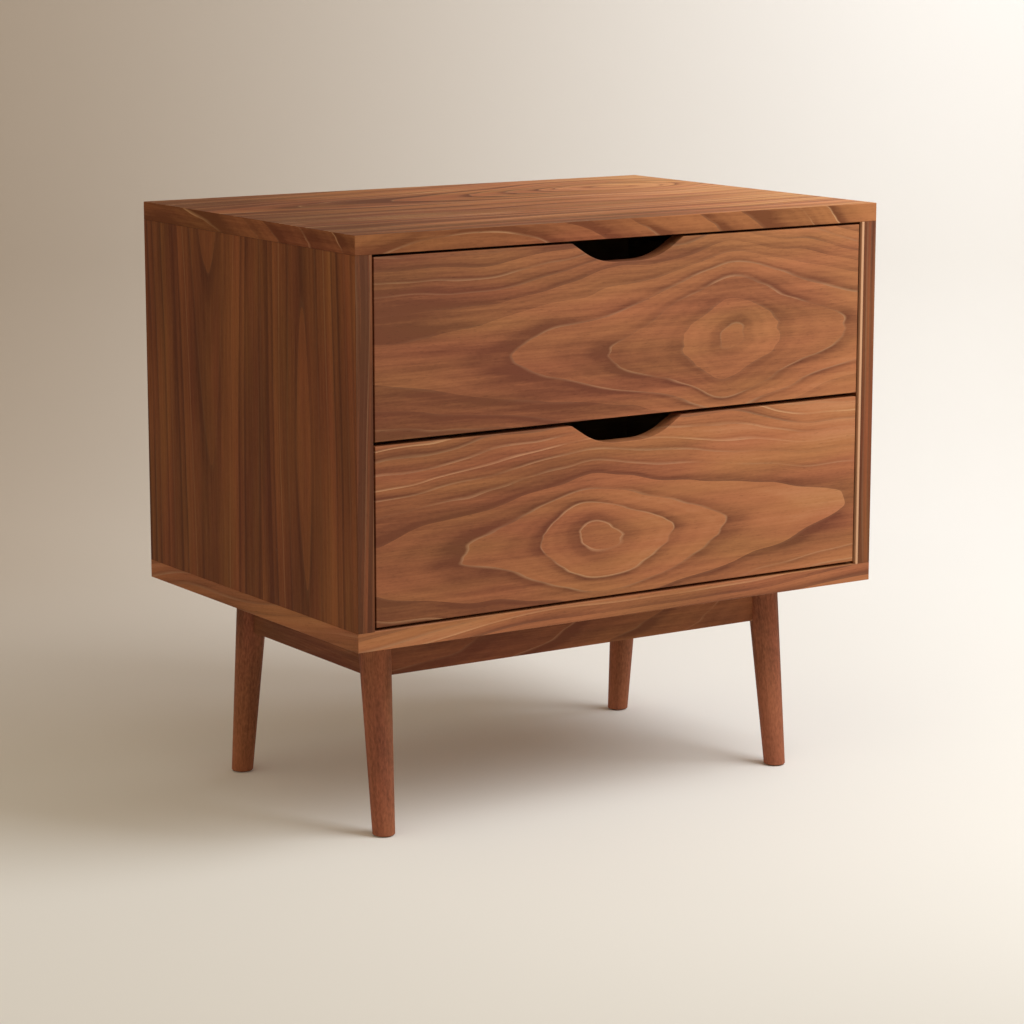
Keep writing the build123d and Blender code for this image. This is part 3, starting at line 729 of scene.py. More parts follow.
def bolt_tree():
    """Threaded leg bolts: a rod with a fine thread, from the seat along the point's axis."""
    name = "Threaded bolts"
    if name in bpy.data.node_groups:
        return bpy.data.node_groups[name]
    tree = new_group(name, "GeometryNodeTree", {
        "Seats": "Geometry", "Radius": 0.003, "Length": 0.08, "Pitch": 0.001, "Finish": "Material",
    }, {"Bolts": "Geometry"})
    given = add(tree, "NodeGroupInput").outputs
    core = add(tree, MATH, (given["Radius"], 0.84), "MULTIPLY")
    rod = add(tree, "GeometryNodeMeshCylinder", {"Vertices": 24, "Radius": core, "Depth": given["Length"]})
    middle = add(tree, MATH, (given["Length"], 0.5), "MULTIPLY")
    middle = add(tree, COMBINE, {"Z": middle})
    rod = add(tree, "GeometryNodeTransform", {"Geometry": rod, "Translation": middle})
    rib_depth = add(tree, MATH, (given["Radius"], 0.11), "MULTIPLY")
    rib_path = add(tree, MATH, (given["Radius"], 0.88), "MULTIPLY")
    rib_rise = add(tree, MATH, (given["Length"], 0.97), "MULTIPLY")
    rib = helix(tree, rib_path, 0.5 * MM, rib_rise, given["Pitch"], rib_depth)
    whole = add(tree, "GeometryNodeJoinGeometry")
    for part in (rod, rib):
        tree.links.new(part.outputs[0], whole.inputs[0])
    placed_by_axis(tree, whole, given["Seats"], given["Finish"])
    return tree


def nut_tree():
    """Flange nuts: a chamfered hexagon on a washer face, bored through."""
    name = "Flange nuts"
    if name in bpy.data.node_groups:
        return bpy.data.node_groups[name]
    tree = new_group(name, "GeometryNodeTree", {
        "Seats": "Geometry", "Half Width": 0.005, "Height": 0.005, "Flange Radius": 0.007,
        "Flange Height": 0.0015, "Bore Radius": 0.00305, "Finish": "Material",
    }, {"Nuts": "Geometry"})
    given = add(tree, "NodeGroupInput").outputs
    point = add(tree, MATH, (given["Half Width"], 1.1547), "MULTIPLY")
    lift = add(tree, MATH, (given["Height"], 0.5), "MULTIPLY")
    lift = add(tree, COMBINE, {"Z": lift})
    hexagon = add(tree, "GeometryNodeMeshCylinder",
                  {"Vertices": 6, "Radius": point, "Depth": given["Height"]})
    hexagon = add(tree, "GeometryNodeTransform", {"Geometry": hexagon, "Translation": lift})
    foot = add(tree, MATH, (given["Half Width"], 2.6), "MULTIPLY")
    crown = add(tree, "GeometryNodeMeshCone",
                {"Vertices": 48, "Radius Top": given["Half Width"], "Radius Bottom": foot,
                 "Depth": given["Height"]})
    crown = add(tree, "GeometryNodeTransform", {"Geometry": crown})
    rounded = add(tree, "GeometryNodeMeshBoolean", operation="INTERSECT", solver="EXACT")
    tree.links.new(hexagon.outputs[0], rounded.inputs["Mesh 2"])
    tree.links.new(crown.outputs[0], rounded.inputs["Mesh 2"])
    rim = add(tree, MATH, (given["Half Width"], 1.12), "MULTIPLY")
    flange = add(tree, "GeometryNodeMeshCone",
                 {"Vertices": 48, "Radius Top": rim, "Radius Bottom": given["Flange Radius"],
                  "Depth": given["Flange Height"]})
    solid = add(tree, "GeometryNodeMeshBoolean", operation="UNION", solver="EXACT")
    tree.links.new(rounded.outputs[0], solid.inputs["Mesh 2"])
    tree.links.new(flange.outputs[0], solid.inputs["Mesh 2"])
    far = add(tree, MATH, (given["Height"], 4.0), "MULTIPLY")
    bore = add(tree, "GeometryNodeMeshCylinder",
               {"Vertices": 32, "Radius": given["Bore Radius"], "Depth": far})
    nut = add(tree, "GeometryNodeMeshBoolean", {"Mesh 1": solid}, "DIFFERENCE", solver="EXACT")
    tree.links.new(bore.outputs[0], nut.inputs["Mesh 2"])
    placed_by_axis(tree, nut, given["Seats"], given["Finish"])
    return tree


def ball_tree():
    """Rows of bearing balls along Y, each row in a flat ladder-shaped cage round its middle point."""
    name = "Ball rows"
    if name in bpy.data.node_groups:
        return bpy.data.node_groups[name]
    tree = new_group(name, "GeometryNodeTree", {
        "Rows": "Geometry", "Ball Radius": 0.0018, "Pitch": 0.017, "Cage Length": 0.159,
        "Cage Width": 0.0036, "Cage Thickness": 0.0006, "Balls in Row": 10,
        "Ball Finish": "Material", "Cage Finish": "Material",
    }, {"Rows": "Geometry"})
    given = add(tree, "NodeGroupInput").outputs
    step = add(tree, COMBINE, {"Y": given["Pitch"]})
    gaps = add(tree, MATH, (given["Balls in Row"], 1.0), "SUBTRACT")
    run = add(tree, MATH, (gaps, given["Pitch"]), "MULTIPLY")
    start = add(tree, MATH, (run, -0.5), "MULTIPLY")
    first = add(tree, COMBINE, {"Y": start})
    spots = add(tree, "GeometryNodeMeshLine",
                {"Count": given["Balls in Row"], "Start Location": first, "Offset": step})
    ball = add(tree, "GeometryNodeMeshIcoSphere", {"Radius": given["Ball Radius"], "Subdivisions": 2})
    balls = add(tree, "GeometryNodeInstanceOnPoints", {"Points": spots, "Instance": ball})
    balls = add(tree, "GeometryNodeRealizeInstances", (balls,))
    balls = add(tree, "GeometryNodeSetMaterial", {"Geometry": balls, "Material": given["Ball Finish"]})

    # ladder: two rails beside the balls and a rung in every gap
    rail_width = 0.35 * MM
    rail_size = add(tree, COMBINE, (rail_width, given["Cage Length"], given["Cage Thickness"]))
    rails = []
    for side in (-0.5, 0.5):
        rail = add(tree, "GeometryNodeMeshCube", {"Size": rail_size})
        shift = add(tree, MATH, (given["Cage Width"], side, -side * rail_width), "MULTIPLY_ADD")
        shift = add(tree, COMBINE, {"X": shift})
        rails.append(add(tree, "GeometryNodeTransform", {"Geometry": rail, "Translation": shift}))
    clear = add(tree, MATH, (given["Ball Radius"], -2.2, given["Pitch"]), "MULTIPLY_ADD")
    thin = add(tree, MATH, (given["Cage Thickness"], 0.8), "MULTIPLY")
    narrow = add(tree, MATH, (given["Cage Width"], 0.96), "MULTIPLY")
    rung_size = add(tree, COMBINE, (narrow, clear, thin))
    rung = add(tree, "GeometryNodeMeshCube", {"Size": rung_size})
    rung_start = add(tree, MATH, (given["Pitch"], 0.5, start), "MULTIPLY_ADD")
    rung_first = add(tree, COMBINE, {"Y": rung_start})
    rung_spots = add(tree, "GeometryNodeMeshLine",
                     {"Count": gaps, "Start Location": rung_first, "Offset": step})
    rungs = add(tree, "GeometryNodeInstanceOnPoints", {"Points": rung_spots, "Instance": rung})
    cage = add(tree, "GeometryNodeJoinGeometry")
    for part in (*rails, rungs):
        tree.links.new(part.outputs[0], cage.inputs[0])
    cage = add(tree, "GeometryNodeRealizeInstances", (cage,))
    cage = add(tree, "GeometryNodeSetMaterial", {"Geometry": cage, "Material": given["Cage Finish"]})
    row = add(tree, "GeometryNodeJoinGeometry")
    for part in (balls, cage):
        tree.links.new(part.outputs[0], row.inputs[0])
    rows = add(tree, "GeometryNodeInstanceOnPoints", {"Points": given["Rows"], "Instance": row})
    rows = add(tree, "GeometryNodeRealizeInstances", (rows,))
    add(tree, "NodeGroupOutput", (rows,))
    return tree


# ------------------------------------------------------------------ operators
class NIGHTSTAND_OT_stage(bpy.types.Operator):
    """Pale floor that curves up into a backdrop, studio lights and the camera"""

    bl_idname = "nightstand.stage"
    bl_label = "Stage"

    def execute(self, context):
        scene = context.scene
        scene.view_settings.view_transform = "Standard"
        azimuth, elevation = radians(-33.369), radians(10.614)
        aim = Vector((0, -0.0049, 0.2669))
        distance = 3.2134
        back = Vector((sin(azimuth) * cos(elevation), -cos(azimuth) * cos(elevation), sin(elevation)))
        away = Vector((-sin(azimuth), cos(azimuth), 0))
        right = Vector((cos(azimuth), sin(azimuth), 0))
        up = Vector((0, 0, 1))

        view = bpy.data.cameras.new("camera")
        view.lens = 111.96
        view.sensor_width = 36
        view.dof.use_dof = False
        camera = linked("camera", view)
        camera.location = aim + back * distance
        camera.rotation_euler = (-back).to_track_quat("-Z", "Y").to_euler()
        scene.camera = camera

        # floor, curve and wall as one sheet, straight across the view
        wall_distance, curve_radius, wall_height, half_width = 1.62, 0.35, 3.2, 7.0
        near_edge = -7.0
        profile = [(near_edge, 0.0), (0.0, 0.0), (wall_distance - curve_radius, 0.0)]
        steps = 16
        for k in range(1, steps + 1):
            angle = pi / 2 * k / steps
            profile.append((wall_distance - curve_radius + curve_radius * sin(angle),
                            curve_radius - curve_radius * cos(angle)))
        profile.append((wall_distance, wall_height))
        grid = bmesh.new()
        rows = []
        for out, rise in profile:
            rows.append([grid.verts.new(away * out + right * side + up * rise)
                         for side in (-half_width, 0, half_width)])
        for near, far in zip(rows, rows[1:]):
            for k in range(2):
                grid.faces.new((near[k], near[k + 1], far[k + 1], far[k]))
        floor = to_object(grid, "floor_and_backdrop")
        floor.data.shade_smooth()
        floor.data.materials.append(self.painted_floor(context, away, right))
        floor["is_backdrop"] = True

        world = bpy.data.worlds.new("studio")
        scene.world = world
        world.use_nodes = True
        world.node_tree.nodes.clear()
        glow = add(world.node_tree, "ShaderNodeBackground", {"Color": srgb("#FFEED2"), "Strength": 0.54})
        add(world.node_tree, "ShaderNodeOutputWorld", {"Surface": glow})

        self.lamp("key", right * 1.15 - away * 0.4 + up * 1.38, up * 0.25, 24, 1.1, "#F3FAFF")
        self.lamp("wall_wash", right * 1.5 + away * 0.7 + up * 1.9, away * 1.7 + right * 0.5 + up * 0.8,
                  10, 0.8, "#E8F1FF", 110)
        return {"FINISHED"}

    def lamp(self, name, place, target, power, size, tint, spread=180):
        """A square soft box that looks at a point and shines into a cone of so many degrees."""
        light = bpy.data.lights.new(name, "AREA")
        light.energy = power
        light.size = size
        light.color = srgb(tint)[:3]
        light.spread = radians(spread)
        made = linked(name, light)
        made.location = place
        made.rotation_euler = (Vector(target) - place).to_track_quat("-Z", "Y").to_euler()

    def painted_floor(self, context, away, right):
        """Matt painted floor, seen only from its upper side so that the wall never hides the object; painted
        shade darkens it towards its far left.
        """
        material, tree = new_material("painted_floor")
        base = list(context.scene.nightstand_colours.floor)
        spot = add(tree, "ShaderNodeTexCoord").outputs["Object"]
        cloud = add(tree, "ShaderNodeTexNoise", {"Vector": spot, "Scale": 1.3, "Detail": 2.0})
        tint = add(tree, MIX, (cloud, [c * 0.96 for c in base[:3]] + [1], base), data_type="RGBA")
        # painted shade: the floor and backdrop are painted darker towards their far left and back, standing
        # in for the key light falling off there
        painted_shade_masks = []
        for axis, near, far in ((right, 0.75, -1.0), (away, -0.3, 1.1)):
            reach = add(tree, VECTOR_MATH, (spot, axis), "DOT_PRODUCT")
            painted_shade_masks.append(add(tree, MAP_RANGE, (reach, near, far), interpolation_type="SMOOTHSTEP"))
        corner = add(tree, MATH, (painted_shade_masks[0], painted_shade_masks[1]), "MULTIPLY")
        tint = add(tree, MIX, (corner, tint, srgb("#C6B9AB")), data_type="RGBA")
        matt = add(tree, "ShaderNodeBsdfDiffuse", {"Color": tint, "Roughness": 0.5})
        clear = add(tree, "ShaderNodeBsdfTransparent")
        behind = add(tree, "ShaderNodeNewGeometry").outputs["Backfacing"]
        both = add(tree, "ShaderNodeMixShader", (behind, matt, clear))
        add(tree, "ShaderNodeOutputMaterial", {"Surface": both})
        return material


class NIGHTSTAND_OT_case(bpy.types.Operator):
    """Top, bottom, side and back boards with their veneers, and the dowels that join them"""

    bl_idname = "nightstand.case"
    bl_label = "Case boards"

    def execute(self, context):
        tone = context.scene.nightstand_colours
        top_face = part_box("top_panel")[1].z / MM
        front_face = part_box("top_panel")[0].y / MM
        side_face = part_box("top_panel")[1].x / MM
        along_front = grain((0, front_face, top_face), ALONG_X, ALONG_Z)
        along_side = grain((-side_face, 0, top_face), ALONG_Y, ALONG_Z)
        # the slope values of the top and its edge bands paint them paler along their grain, standing in for
        # the key light falling off across them
        band = {"Eye Length": 900, "Reach": 243000, "Ring Step": 300, "Spacing": 23, "Contrast": 0.4,
                "Stripes": 0.12, "Warp": 0.6, "Line": 0.55, "Tone": 0.24, "Slope": 0.0002, "Uneven": 1.0}
        golden = {"Light": srgb("#CB8D5D"), "Middle": srgb("#A0623B"), "Dark": srgb("#653820"),
                  "Pale Line": srgb("#D6A679")}
        top = walnut("walnut_top", [
            (None, grain((190, 95, top_face), ALONG_X, ALONG_Y, 4),
             {"Seed": 6, "Eye Length": 70, "Reach": 1800, "Ring Step": 600, "Core": 100, "Spacing": 8,
              "Tone": 0.78, "Slope": 0.0014, "Contrast": 0.9, "Stripes": 0.3, "Warp": 1.0,
              "Stretch": 1.8, "Uneven": 1.0, "Line": 0.8, **golden}),
            (facing(ALONG_Y), grain((-180, front_face, top_face - 120), ALONG_X, ALONG_Z),
             {"Seed": 7, "fibre": along_front, **band}),
            (facing(ALONG_X), grain((-side_face, 170, top_face - 110), ALONG_Y, ALONG_Z),
             {"Seed": 8, "fibre": along_side, **band}),
        ], gloss=0.06)
        paint("top_panel", top)
        bottom_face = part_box("bottom_panel")[0].z / MM
        bottom = walnut("walnut_bottom", [
            (None, grain((60, 380, bottom_face), ALONG_X, ALONG_Y),
             {"Eye Length": 200, "Reach": 2600, "Ring Step": 2400, "Spacing": 9, "Tone": 0.55}),
            (facing(ALONG_Y), grain((-40, front_face, 60), ALONG_X, ALONG_Z, 3),
             {"Seed": 9, "Eye Length": 160, "Reach": 2000, "Ring Step": 1500, "Spacing": 6, "Tone": 0.44,
              "Contrast": 0.4, "Stripes": 0.3, "Stretch": 2.0}),
            (facing(ALONG_X), grain((-side_face, 100, 90), ALONG_Y, ALONG_Z, -8),
             {"Seed": 10, "Eye Length": 160, "Reach": 2000, "Ring Step": 1500, "Spacing": 7,
              "Contrast": 0.4, "Stripes": 0.35, "Stretch": 2.0, "Tone": 0.4}),
        ])
        paint("bottom_panel", bottom)
        for side, sx in SIDES.items():
            # painted shade: the side boards get a darker palette and tone than the fronts, standing in for
            # the lower light on the sides of the case
            straight = {"Seed": 11 + sx, "Spacing": 12, "Contrast": 0.4, "Stripes": 0.25, "Warp": 0.4,
                        "Line": 0.22, "Stretch": 4.0, "Tone": 0.30, "Uneven": 1.0,
                        "Light": srgb("#A16A3C"), "Middle": srgb("#8B512C"), "Dark": srgb("#5D3019"),
                        "Pale Line": srgb("#B98A5C")}
            layers = [
                (None, grain((sx * side_face, -112, 372), ALONG_Z, ALONG_Y, 1),
                 {"Eye Length": 60, "Reach": 110, "Ring Step": 400, "Core": 170, **straight}),
                (past(ALONG_Y, -28), grain((sx * side_face, 72, 600), ALONG_Z, ALONG_Y),
                 {"Eye Length": 60, "Reach": 450, "Ring Step": 570, "Core": 396, **straight}),
                (facing(ALONG_Y), grain((sx * side_face - 150, front_face, 420), ALONG_Z, ALONG_X),
                 {"Seed": 14 + sx, "Eye Length": 160, "Reach": 900, "Ring Step": 900, "Spacing": 4.5,
                  "Contrast": 0.35, "Stripes": 0.3, "Stretch": 3.0, "Tone": 0.15, "Line": 0.2,
                  "Middle": srgb("#8A4E2F"), "Dark": srgb("#58301C")}),
            ]
            # only the right side board gets the painted highlight strip along its inner front edge
            paint(f"side_panel_{side}", walnut(f"walnut_side_{side}", layers,
                                               painted_highlight=self.painted_highlight if sx > 0 else None))
        back = walnut("walnut_back", [
            (None, grain((40, 204, 380), ALONG_Z, ALONG_X),
             {"Seed": 17, "Eye Length": 150, "Reach": 1500, "Ring Step": 1500, "Spacing": 8,
              "Contrast": 0.4}),
        ])
        paint("back_panel", back)
        paint("case_dowels", plain_wood("beech_dowel", tone.beech, srgb("#B58A5F"), 2))
        return {"FINISHED"}

    def painted_highlight(self, tree, wood):
        """A painted highlight: a pale strip painted along the inner front edge of a side board, standing in
        for light caught by its edge and inner face.
        """
        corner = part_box("side_panel_right")[0]
        width, depth, strength = 2.8 * MM, 4 * MM, 0.75
        spot = add(tree, "ShaderNodeTexCoord").outputs["Object"]
        parts = add(tree, "ShaderNodeSeparateXYZ", (spot,)).outputs
        edge = add(tree, MATH, (parts["X"], corner.x + width), "LESS_THAN")
        front = add(tree, MATH, (parts["Y"], corner.y + depth), "LESS_THAN")
        mask = add(tree, MATH, (edge, front), "MULTIPLY")
        mask = add(tree, MATH, (mask, strength), "MULTIPLY")
        return add(tree, MIX, (mask, wood, srgb("#D8A680")), data_type="RGBA")


class NIGHTSTAND_OT_drawer_fronts(bpy.types.Operator):
    """The two drawer fronts with their finger cut-outs"""

    bl_idname = "nightstand.drawer_fronts"
    bl_label = "Drawer fronts"

    def execute(self, context):
        sizes = context.scene.nightstand_sizes
        # the slope values paint each front paler towards its right, where the key light falls
        figures = {
            "upper": (119, 458.4, {"Seed": 0.0, "Tone": 0.42, "Slope": 0.0006}),
            "lower": (-29, 274.8, {"Seed": 3.0, "Tone": 0.38, "Slope": 0.0006, "Eye Length": 48,
                                   "Reach": 1300}),
        }
        cut_half, cut_depth, cut_slope, floor_round, end_round = 64, 20, radians(33), 70, 4
        floor_half = cut_half - cut_depth / tan(cut_slope)
        for storey in STOREYS:
            node = f"drawer_front_{storey}"
            low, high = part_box(node)
            half, foot, top = high.x / MM, low.z / MM, high.z / MM
            corners = [
                (-half, foot, 0), (half, foot, 0), (half, top, 0), (cut_half, top, end_round),
                (floor_half, top - cut_depth, floor_round), (-floor_half, top - cut_depth, floor_round),
                (-cut_half, top, end_round), (-half, top, 0),
            ]
            grid = prism(rounded_outline(corners, 12),
                         lambda x, z, d: Vector((x, low.y / MM + d, z)) * MM, (high.y - low.y) / MM)
            front = ease(to_object(grid, f"front_{storey}"), sizes.front_ease)
            eye_x, eye_z, values = figures[storey]
            figure = walnut(f"walnut_front_{storey}", [
                (None, grain((eye_x, low.y / MM, eye_z), ALONG_X, ALONG_Z), values),
            ])
            settle(front, f"{storey}_drawer", "walnut_drawer_front", figure, node)
        return {"FINISHED"}


class NIGHTSTAND_OT_drawer_boxes(bpy.types.Operator):
    """The plywood drawer boxes"""

    bl_idname = "nightstand.drawer_boxes"
    bl_label = "Drawer boxes"

    def execute(self, context):
        tone = context.scene.nightstand_colours
        dark = srgb("#C4A67C")
        side_ply = plain_wood("birch_ply_sides", tone.birch, dark, 1, 0, tone.birch_core)
        end_ply = plain_wood("birch_ply_ends", tone.birch, dark, 0, 1, tone.birch_core)
        bottom_ply = plain_wood("birch_ply_bottom", tone.birch, dark, 0, 2, tone.birch_core)
        for storey in STOREYS:
            for part, ply in (("left", side_ply), ("right", side_ply), ("front", end_ply),
                              ("back", end_ply), ("bottom", bottom_ply)):
                paint(f"box_{part}_{storey}", ply)
        return {"FINISHED"}


class NIGHTSTAND_OT_legs(bpy.types.Operator):
    """Four turned legs that taper and splay, with pads under their feet"""

    bl_idname = "nightstand.legs"
    bl_label = "Legs and foot pads"

    def execute(self, context):
        sizes = context.scene.nightstand_sizes
        tone = context.scene.nightstand_colours
        darker = [c * 0.35 for c in tone.walnut_leg[:3]] + [1]
        lighter = [min(1, c * 1.6) for c in tone.walnut_leg[:3]] + [1]
        place = grain((0, 60, 30), ALONG_X, ALONG_Y)
        place["Scale"] = (1, 1, 1)
        solid = walnut("walnut_leg", [
            (None, place,
             {"Seed": 20, "Eye Length": 300, "Reach": 1200, "Ring Step": 1000, "Spacing": 5, "Warp": 0.5,
              "Contrast": 0.5, "Stripes": 0.4, "Line": 0.3, "Tone": 0.52, "Fleck": 0.6,
              "Light": lighter, "Middle": tone.walnut_leg, "Dark": darker, "Pale Line": lighter}),
        ], source="grain_place")
        # where the turning's axis meets the case and the floor, and its radii there
        head_x, head_y, head_radius = 230.7, 117.5, 16.1
        foot_x, foot_y, foot_radius = 234.6, 139.9, 10.8
        overrun = 5
        for end, sy in ENDS.items():
            for side, sx in SIDES.items():
                node = f"leg_{end}_{side}"
                low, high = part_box(node)
                head = Vector((sx * head_x, sy * head_y, high.z / MM))
                foot = Vector((sx * foot_x, sy * foot_y, 0))
                axis = (foot - head).normalized()
                reach = (foot - head).length
                taper = (head_radius - foot_radius) / reach
                grid = bmesh.new()
                profile = [(0, -overrun), (head_radius + taper * overrun, -overrun)]
                profile += [(foot_radius - taper * overrun, reach + overrun), (0, reach + overrun)]
                lathe(grid, profile, head, axis, sizes.leg_facets)
                for height, out in ((head.z, 1), (low.z / MM, -1)):
                    everything = grid.verts[:] + grid.edges[:] + grid.faces[:]
                    bmesh.ops.bisect_plane(grid, geom=everything, plane_co=(0, 0, height),
                                           plane_no=(0, 0, out), clear_outer=True)
                    bmesh.ops.holes_fill(grid, edges=[e for e in grid.edges if e.is_boundary])
                bmesh.ops.recalc_face_normals(grid, faces=grid.faces)
                bmesh.ops.scale(grid, vec=(MM, MM, MM), verts=grid.verts)
                leg = ease(to_object(grid, f"leg_{end}_{side}_turned"), sizes.foot_ease)
                across = axis.cross(Vector((0, 0, 1)).cross(axis)).normalized()
                third = axis.cross(across)
                spots = leg.data.attributes.new("grain_place", "FLOAT_VECTOR", "POINT")
                shift = 400 * (2 * (sx > 0) + (sy > 0))  # other wood for each leg
                values = []
                for vertex in leg.data.vertices:
                    gap = vertex.co / MM - head
                    values += [gap.dot(axis) + shift, gap.dot(across) * sy, gap.dot(third) * sx]
                spots.data.foreach_set("vector", values)
                settle(leg, "case", "walnut_leg", solid, node)

        grid = bmesh.new()
        for low, high in solids("foot_pads"):
            middle = (low + high) / 2
            radius, height = (high.x - low.x) / 2, high.z - low.z
            lathe(grid, [(0, 0), (radius * 0.86, 0), (radius * 0.95, height * 0.06),
                         (radius, height * 0.2), (radius, height), (0, height)],
                  (middle.x, middle.y, low.z))
        bmesh.ops.recalc_face_normals(grid, faces=grid.faces)
        pads = to_object(grid, "foot_pads_moulded")
        smooth(pads, 50)
        settle(pads, "case", "foot_pad", nylon("nylon_pad", list(tone.pad)), "foot_pads")
        return {"FINISHED"}


class NIGHTSTAND_OT_base(bpy.types.Operator):
    """Aprons, corner blocks, leg bolts and their nuts"""

    bl_idname = "nightstand.base"
    bl_label = "Base frame"

    def execute(self, context):
        tone = context.scene.nightstand_colours
        sizes = context.scene.nightstand_sizes
        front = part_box("apron_front")[0].y / MM
        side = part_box("apron_right")[1].x / MM
        darker = {"Eye Length": 900, "Reach": 243000, "Ring Step": 300, "Spacing": 30, "Tone": 0.20,
                  "Contrast": 0.35, "Stripes": 0.12, "Line": 0.5, "Warp": 0.8, "Uneven": 1.0}
        apron = walnut("walnut_apron", [
            (None, grain((-260, front, 330), ALONG_X, ALONG_Z),
             {"Seed": 22, "fibre": grain((0, front, 150), ALONG_X, ALONG_Z), **darker}),
            (facing(ALONG_X), grain((side, 220, 300), ALONG_Y, ALONG_Z),
             {"Seed": 23, "fibre": grain((side, 0, 150), ALONG_Y, ALONG_Z), **darker}),
        ])
        for place in ("front", "rear", "left", "right"):
            paint(f"apron_{place}", apron)
        block = plain_wood("beech_block", tone.beech, srgb("#AF8459"), 2)
        for end in ENDS:
            for place in SIDES:
                paint(f"corner_block_{end}_{place}", block)

        zinc = metal("zinc_plated_bolts", list(tone.zinc), 0.32, (3, 3, 3))
        bolt_radius, nut_height = 3 * MM, 5 * MM
        bolts = []
        for low, high in solids("leg_bolts"):
            middle = (low + high) / 2
            sx, sy = copysign(1, middle.x), copysign(1, middle.y)
            outer = Vector((high.x if sx > 0 else low.x, high.y if sy > 0 else low.y, middle.z))
            inner = Vector((low.x if sx > 0 else high.x, low.y if sy > 0 else high.y, middle.z))
            trim = Vector((sx, sy, 0)) * (bolt_radius / 2**0.5)
            start, end = outer - trim, inner + trim
            bolts.append((start, Vector((-sx, -sy, 0)).normalized()))
            bolt_length = (end - start).length
        made = grow(seats_of("leg_bolts_threaded", bolts), bolt_tree(),
                    {"Radius": bolt_radius, "Length": bolt_length, "Pitch": sizes.bolt_pitch, "Finish": zinc})
        settle(made, "case", "zinc_steel", None, "leg_bolts")
        block_low, block_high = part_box("corner_block_front_left")
        face_middle = (Vector((block_low.x, block_high.y, 0)) + Vector((block_high.x, block_low.y, 0))) / 2
        seats = []
        for low, high in solids("leg_bolt_nuts"):
            middle = (low + high) / 2
            sx, sy = copysign(1, middle.x), copysign(1, middle.y)
            out = Vector((-sx, -sy, 0)).normalized()
            sideways = Vector((out.y, -out.x, 0))
            seat = Vector((sx * abs(face_middle.x), sy * abs(face_middle.y), middle.z))
            seats.append((seat + sideways * (middle - seat).dot(sideways), out))
        made = grow(seats_of("leg_nuts_flanged", seats), nut_tree(),
                    {"Half Width": nut_height, "Height": nut_height, "Finish": zinc}, 25)
        settle(made, "case", "zinc_steel", None, "leg_bolt_nuts")
        return {"FINISHED"}


class NIGHTSTAND_OT_slides(bpy.types.Operator):
    """Case, middle and drawer members of the four ball bearing slides"""

    bl_idname = "nightstand.slides"
    bl_label = "Slide members"

    def execute(self, context):
        tone = context.scene.nightstand_colours
        bend = context.scene.nightstand_sizes.bend_radius / MM
        steel = metal("rolled_slide_steel", list(tone.zinc), 0.30, (2.5, 60, 2.5))
        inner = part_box("case_runner_upper_right")[1].x / MM
        for storey in STOREYS:
            for side, sx in SIDES.items():
                for member, body in (
                    ("case", "case"),
                    ("middle", f"{storey}_{side}_middle_runner"),
                    ("drawer", f"{storey}_drawer"),
                ):
                    node = f"{member}_runner_{storey}_{side}"
                    low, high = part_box(node)
                    near, far = sorted((inner - abs(low.x / MM), inner - abs(high.x / MM)))
                    middle = (low.z + high.z) / 2 / MM
                    half = (high.z - low.z) / 2 / MM
                    grid = prism(
                        rounded_outline(self.section(member, near, far, half, bend), 5),
                        lambda d, z, y: Vector((sx * (inner - d), low.y / MM + y, middle + z)) * MM,
                        (high.y - low.y) / MM,
                    )
                    made = to_object(grid, f"{member}_slide_{storey}_{side}")
                    smooth(made, 35)
                    settle(made, body, "runner_steel", steel, node)
        return {"FINISHED"}

    def section(self, member, near, far, half, bend):
        """Corners of a rolled channel: distance from the case side, height, rounding."""
        sheet, lip_height, lip_width, small, crease = 1.2, 1.4, 0.8, 0.3, 0.2
        inside = half - sheet
        lip = inside - lip_height
        part = {
            "case": [(near, half, bend), (far, half, bend), (far, lip, small),
                     (far - lip_width, lip, small), (far - lip_width, inside, crease),
                     (near + sheet, inside, small)],
            "middle": [(near, half, bend), (far, half, small), (far, inside, small),
                       (near + sheet, inside, small)],
            "drawer": [(far, half, bend), (near, half, small), (near, inside, small),
                       (far - sheet, inside, small)],
        }[member]
        return part + [(x, -z, r) for x, z, r in reversed(part)]


class NIGHTSTAND_OT_balls(bpy.types.Operator):
    """Bearing balls in their cages, carried by the middle slide members"""

    bl_idname = "nightstand.balls"
    bl_label = "Bearing balls"

    def execute(self, context):
        tone = context.scene.nightstand_colours
        polished = metal("polished_balls", list(tone.steel), 0.12, (1, 1, 1))
        cage = metal("zinc_plated_cage", list(tone.zinc), 0.35, (2, 8, 2))
        least_cage_width = 3.6 * MM
        for storey in STOREYS:
            for side in SIDES:
                node = f"runner_balls_{storey}_{side}"
                groups = {}
                for low, high in solids(node):
                    radius = (high.z - low.z) / 2
                    groups.setdefault(round(radius, 5), []).append(((low + high) / 2, high - low))
                for number, (radius, rows) in enumerate(sorted(groups.items())):
                    seats = [(middle, ALONG_Z) for middle, size in rows]
                    size = rows[0][1]
                    made = grow(seats_of(f"ball_rows_{storey}_{side}_{number}", seats), ball_tree(), {
                        "Ball Radius": radius, "Cage Width": max(size.x, least_cage_width),
                        "Cage Length": size.y, "Ball Finish": polished, "Cage Finish": cage,
                    }, 40)
                    settle(made, f"{storey}_{side}_middle_runner", "ball_steel", None, node)
        return {"FINISHED"}


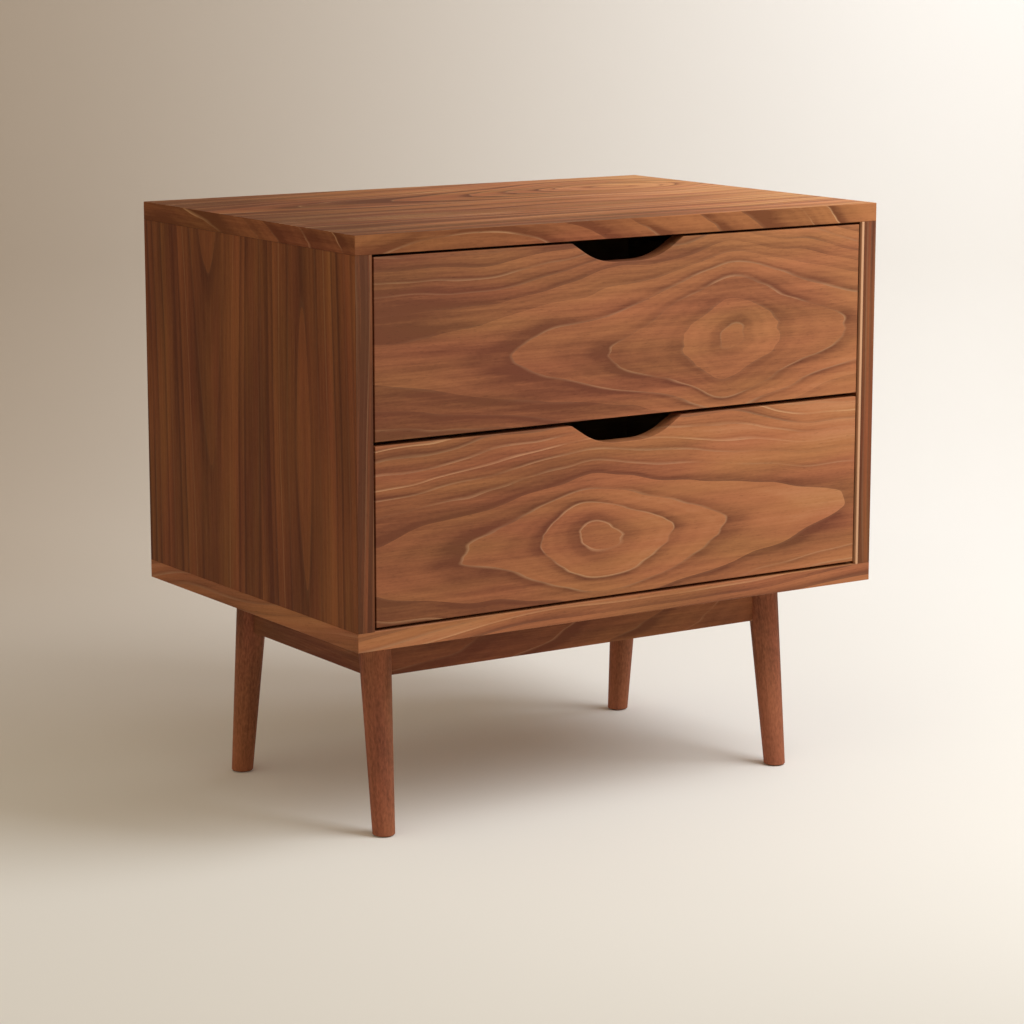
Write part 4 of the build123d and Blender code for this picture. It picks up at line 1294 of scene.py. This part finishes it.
class NIGHTSTAND_OT_screws(bpy.types.Operator):
    """All the screws, with their heads where the frame's screws have them"""

    bl_idname = "nightstand.screws"
    bl_label = "Screws"

    def execute(self, context):
        tone = context.scene.nightstand_colours
        sizes = context.scene.nightstand_sizes
        zinc = metal("zinc_plated_screws", list(tone.zinc), 0.30, (2, 2, 2))
        # which way the heads look, then head height, head radius and shank radius in millimetres
        inwards, outwards = -1, 1
        groups = [
            ("back_panel_screws", "case", ALONG_Y, 1.4, 3.2, 1.75),
            ("base_screws", "case", (0, 0, -1), 2.4, 4.5, 2.25),
            ("case_runner_screws", "case", inwards, 1.6, 3.4, 2.0),
        ]
        for storey in STOREYS:
            groups.append((f"front_screws_{storey}", f"{storey}_drawer", ALONG_Y, 2.0, 4.0, 2.0))
            groups.append((f"drawer_runner_screws_{storey}", f"{storey}_drawer", outwards, 1.6, 3.4, 2.0))
        for node, body, looks, head_height, head_radius, shank in groups:
            seats = []
            for low, high in solids(node):
                middle = (low + high) / 2
                sideways = looks in (inwards, outwards)
                axis = Vector((looks * copysign(1, middle.x), 0, 0) if sideways else looks)
                tall = abs((high - low).dot(axis))
                seats.append((middle + axis * (tall / 2 - head_height * MM), axis))
            made = grow(seats_of(f"{node}_pan_head", seats), screw_tree(), {
                "Head Radius": head_radius * MM, "Head Height": head_height * MM,
                "Shank Radius": shank * MM, "Shank Length": tall - head_height * MM,
                "Recess Width": sizes.recess_width * (1.4 if head_radius > 3.5 else 1),
                "Pitch": sizes.thread_pitch, "Finish": zinc,
            })
            settle(made, body, "zinc_steel", None, node)
        return {"FINISHED"}


class NIGHTSTAND_PT_panel(bpy.types.Panel):
    """Lists the pieces and the values that may be changed"""

    bl_idname = "NIGHTSTAND_PT_panel"
    bl_label = "Nightstand"
    bl_space_type = "VIEW_3D"
    bl_region_type = "UI"
    bl_category = "Nightstand"

    def draw(self, context):
        for operator in OPERATORS:
            self.layout.operator(operator.bl_idname)
        for group in (context.scene.nightstand_sizes, context.scene.nightstand_colours):
            box = self.layout.box()
            for name in group.__annotations__:
                box.prop(group, name)


GROUPS = (NightstandColours, NightstandSizes)
OPERATORS = (
    NIGHTSTAND_OT_stage,
    NIGHTSTAND_OT_case,
    NIGHTSTAND_OT_drawer_fronts,
    NIGHTSTAND_OT_drawer_boxes,
    NIGHTSTAND_OT_legs,
    NIGHTSTAND_OT_base,
    NIGHTSTAND_OT_slides,
    NIGHTSTAND_OT_balls,
    NIGHTSTAND_OT_screws,
)


def register():
    for kind in (*GROUPS, *OPERATORS, NIGHTSTAND_PT_panel):
        bpy.utils.register_class(kind)
    bpy.types.Scene.nightstand_colours = PointerProperty(type=NightstandColours)
    bpy.types.Scene.nightstand_sizes = PointerProperty(type=NightstandSizes)


def unregister():
    del bpy.types.Scene.nightstand_colours
    del bpy.types.Scene.nightstand_sizes
    for kind in (NIGHTSTAND_PT_panel, *reversed(OPERATORS), *reversed(GROUPS)):
        bpy.utils.unregister_class(kind)


def main():
    register()
    for operator in OPERATORS:
        family, name = operator.bl_idname.split(".")
        getattr(getattr(bpy.ops, family), name)()
    boxes = {"cad": cad_box, "visual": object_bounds()}
    {name: [list(corner) for corner in box] for name, box in boxes.items()}


if __name__ == "__main__":
    main()
